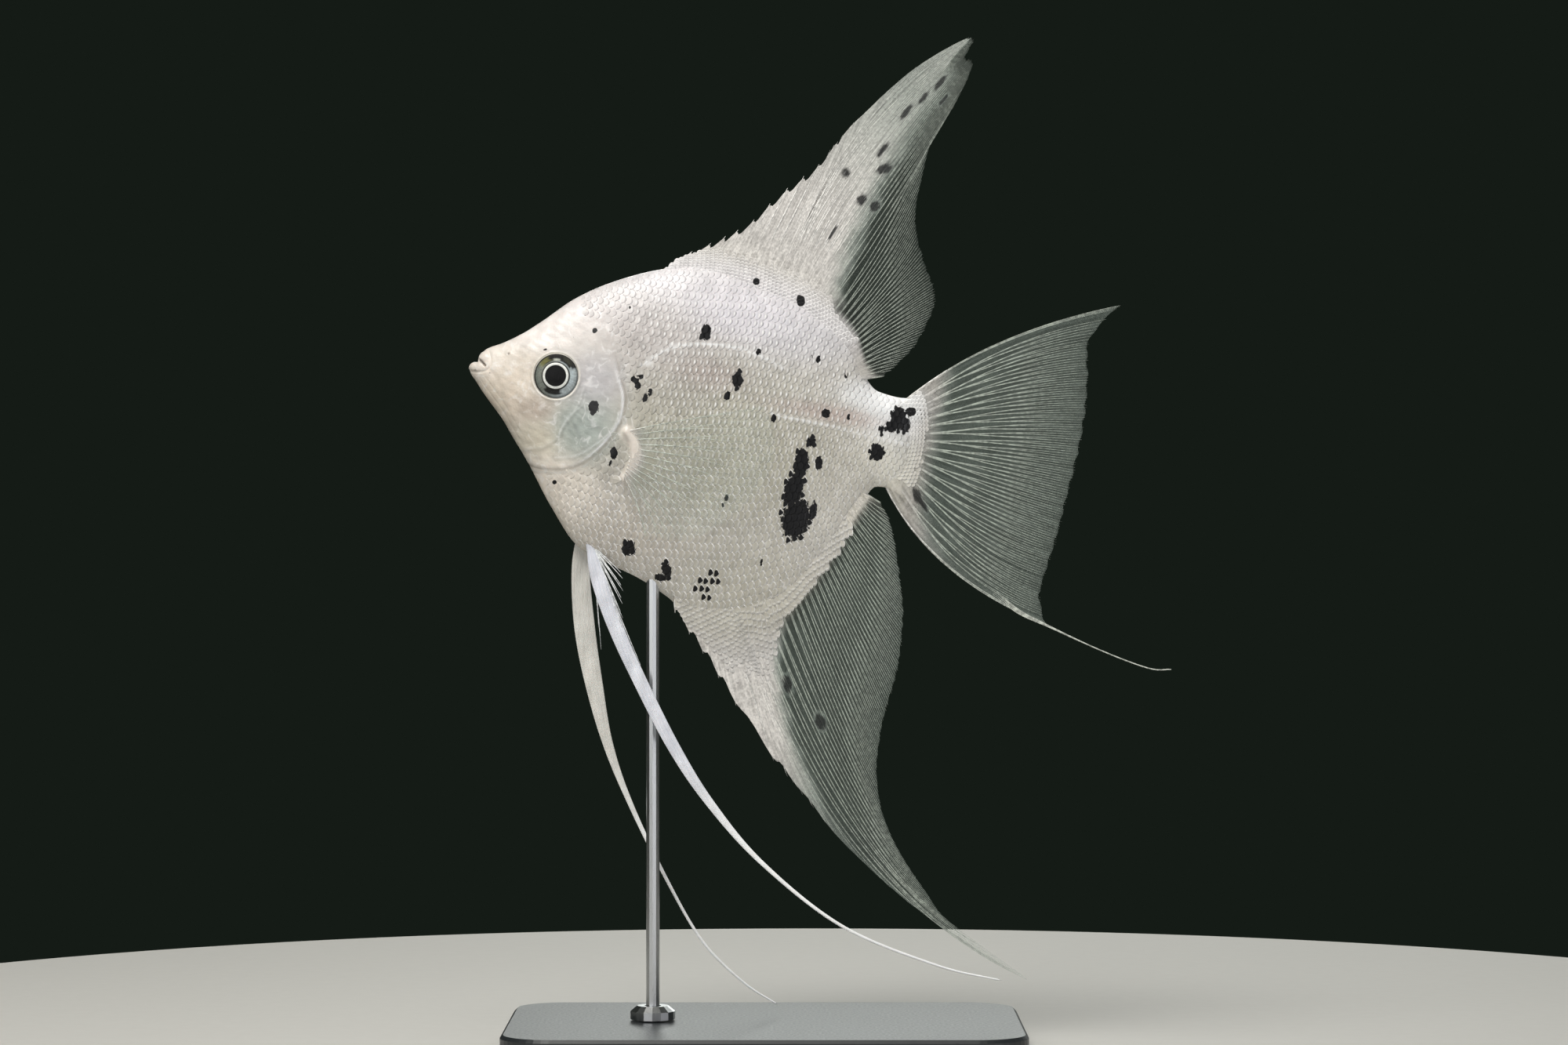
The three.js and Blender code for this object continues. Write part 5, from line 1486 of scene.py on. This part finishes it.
def irisMaterial(name):
    # An iris: silver guanine threads under a wet clear skin, bright as metal round a black pupil.
    material, tree = newMaterial(name)
    place = addNode(tree, "TexCoord").outputs["Object"]
    tone = addNode(tree, "Attribute", attribute_name="tone")
    fibres = addNode(tree, "TexNoise", {"Vector": place, "Scale": perMetre("irisFibres"), "Detail": 4})
    shade = addNode(tree, "MapRange", {"Value": fibres, "From Min": 0.3, "From Max": 0.7,
                                       "To Min": 0.82, "To Max": 1.12})
    base = addNode(tree, "VectorMath", {0: tone, 1: shade}, operation="MULTIPLY")
    bump = addNode(tree, "Bump", {"Height": fibres, "Strength": 0.2, "Distance": 0.00005})
    iris = addNode(tree, "BsdfPrincipled", {"Base Color": base, "Normal": bump, "Roughness": 0.35,
                                            "IOR": 1.2})
    addNode(tree, "OutputMaterial", {"Surface": iris})
    return material


def corneaMaterial(name):
    # A cornea: water-clear and wet, seen only by its reflections.
    material, tree = newMaterial(name)
    clear = addNode(tree, "BsdfTransparent")
    shine = addNode(tree, "BsdfPrincipled", {"Base Color": rgba("#FFFFFF"), "Roughness": 0.04, "IOR": 1.38})
    mirrored = addNode(tree, "Fresnel", {"IOR": 1.12})
    both = addNode(tree, "MixShader", {0: mirrored, 1: clear, 2: shine})
    addNode(tree, "OutputMaterial", {"Surface": both})
    return material


eyeIris, eyeCornea = irisMaterial("silver_iris"), corneaMaterial("clear_cornea")
for side, where in ((-1, "left"), (1, "right")):
    finishPiece(eyeBall("eye_ball_" + where, side), eyeIris, "eye", "eye_" + where)
    finishPiece(cornea("eye_cornea_" + where, side), eyeCornea, "eye")
print("eyes made")


# Stand: the CAD nodes with better finishes.
def acrylicMaterial(name):
    # Cast acrylic, matted: dark, even and softly shiny, with a faint cloud in it.
    material, tree = newMaterial(name)
    place = addNode(tree, "TexCoord").outputs["Object"]
    cloud = addNode(tree, "TexNoise", {"Vector": place, "Scale": perMetre("acrylicCloud"), "Detail": 4})
    shade = addNode(tree, "ValToRGB", {"Fac": cloud})
    shade.color_ramp.elements[0].color = rgba("#232628")
    shade.color_ramp.elements[1].color = rgba("#2E3234")
    dust = addNode(tree, "TexNoise", {"Vector": place, "Scale": perMetre("acrylicDust"), "Detail": 6})
    gloss = addNode(tree, "MapRange", {"Value": dust, "From Min": 0.3, "From Max": 0.75,
                                       "To Min": 0.28, "To Max": 0.46})
    bump = addNode(tree, "Bump", {"Height": dust, "Strength": 0.12, "Distance": 0.00003})
    acrylic = addNode(tree, "BsdfPrincipled", {"Base Color": shade, "Roughness": gloss, "Normal": bump,
                                               "IOR": 1.49})
    addNode(tree, "OutputMaterial", {"Surface": acrylic})
    return material


def steelMaterial(name):
    # Drawn stainless wire: bright, with fine lines that run its length.
    material, tree = newMaterial(name)
    place = addNode(tree, "TexCoord").outputs["Object"]
    stretched = addNode(tree, "Mapping", {"Vector": place, "Scale": (1, 1, 0.04)})
    lines = addNode(tree, "TexNoise", {"Vector": stretched, "Scale": perMetre("drawnLines"), "Detail": 4})
    shade = addNode(tree, "ValToRGB", {"Fac": lines})
    shade.color_ramp.elements[0].color = rgba("#BFC1C2")
    shade.color_ramp.elements[1].color = rgba("#CFD1D2")
    gloss = addNode(tree, "MapRange", {"Value": lines, "To Min": 0.24, "To Max": 0.34})
    bump = addNode(tree, "Bump", {"Height": lines, "Strength": 0.15, "Distance": 0.00002})
    steel = addNode(tree, "BsdfPrincipled", {"Base Color": shade, "Roughness": gloss, "Normal": bump,
                                             "Metallic": 1.0})
    addNode(tree, "OutputMaterial", {"Surface": steel})
    return material


blackAcrylic, drawnSteel = acrylicMaterial("satin_black_acrylic"), steelMaterial("drawn_stainless_steel")
for node, material in (("stand_base", blackAcrylic), ("stand_collar", drawnSteel), ("stand_rod", drawnSteel)):
    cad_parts[node].data.materials.clear()
    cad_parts[node].data.materials.append(material)
print("stand finished")


# Floor, light and camera
stage = {"floorRadius": 0.23, "floorThickness": 0.012, "roomTint": "#151B16", "middle": (0.0, 0.0, 0.10),
         "lens": 100, "sensor": 36, "cameraPlace": (-0.00658, -0.778, 0.09396)}


def boardMaterial(name):
    # Painted board: pale and matt, with faint flecks.
    material, tree = newMaterial(name)
    place = addNode(tree, "TexCoord").outputs["Object"]
    fleck = addNode(tree, "TexNoise", {"Vector": place, "Scale": perMetre("boardFleck"), "Detail": 6})
    shade = addNode(tree, "ValToRGB", {"Fac": fleck})
    shade.color_ramp.elements[0].color = rgba("#CCCAC5")
    shade.color_ramp.elements[1].color = rgba("#D2D0CB")
    board = addNode(tree, "BsdfPrincipled", {"Base Color": shade, "Roughness": 0.75})
    addNode(tree, "OutputMaterial", {"Surface": board})
    return material


bpy.ops.mesh.primitive_cylinder_add(vertices=128, radius=stage["floorRadius"], depth=stage["floorThickness"],
                                    location=(0, 0, -stage["floorThickness"] / 2))
floor = bpy.context.active_object
floor.name = "floor"
bpy.ops.object.transform_apply(location=True)
floor.data.materials.append(boardMaterial("pale_matt_board"))

world = bpy.data.worlds.new("dim_studio")
bpy.context.scene.world = world
world.use_nodes = True
world.node_tree.nodes["Background"].inputs["Color"].default_value = rgba(stage["roomTint"])
world.node_tree.nodes["Background"].inputs["Strength"].default_value = 1.0


def softbox(name, place, size, power, tint):
    bpy.ops.object.light_add(type="AREA", location=place)
    lamp = bpy.context.active_object
    lamp.name = name
    lamp.data.shape = "SQUARE"
    lamp.data.size = size
    lamp.data.energy = power
    lamp.data.color = rgba(tint)[:3]
    lamp.visible_camera = False
    away = np.array(place) - np.array(stage["middle"])
    lamp.rotation_euler = (math.atan2(math.hypot(away[0], away[1]), away[2]), 0,
                           math.atan2(away[0], -away[1]))


softbox("top_softbox", (-0.16, -0.26, 0.60), 0.30, 3.4, "#FFFDF8")
softbox("front_softbox", (-0.35, -0.75, 0.30), 0.55, 1.9, "#FFFFFF")
softbox("right_fill", (0.50, -0.50, 0.06), 0.5, 1.5, "#FBFBFF")
softbox("back_softbox", (0.10, 0.70, 0.40), 0.5, 2.0, "#FBFFFB")

bpy.ops.object.camera_add(location=stage["cameraPlace"], rotation=(math.pi / 2, 0, 0))
camera = bpy.context.active_object
camera.data.lens = stage["lens"]
camera.data.sensor_width = stage["sensor"]
camera.data.clip_start = 0.01
bpy.context.scene.camera = camera
bpy.context.scene.view_settings.view_transform = "Standard"
print("stage set")

bpy.context.view_layer.update()
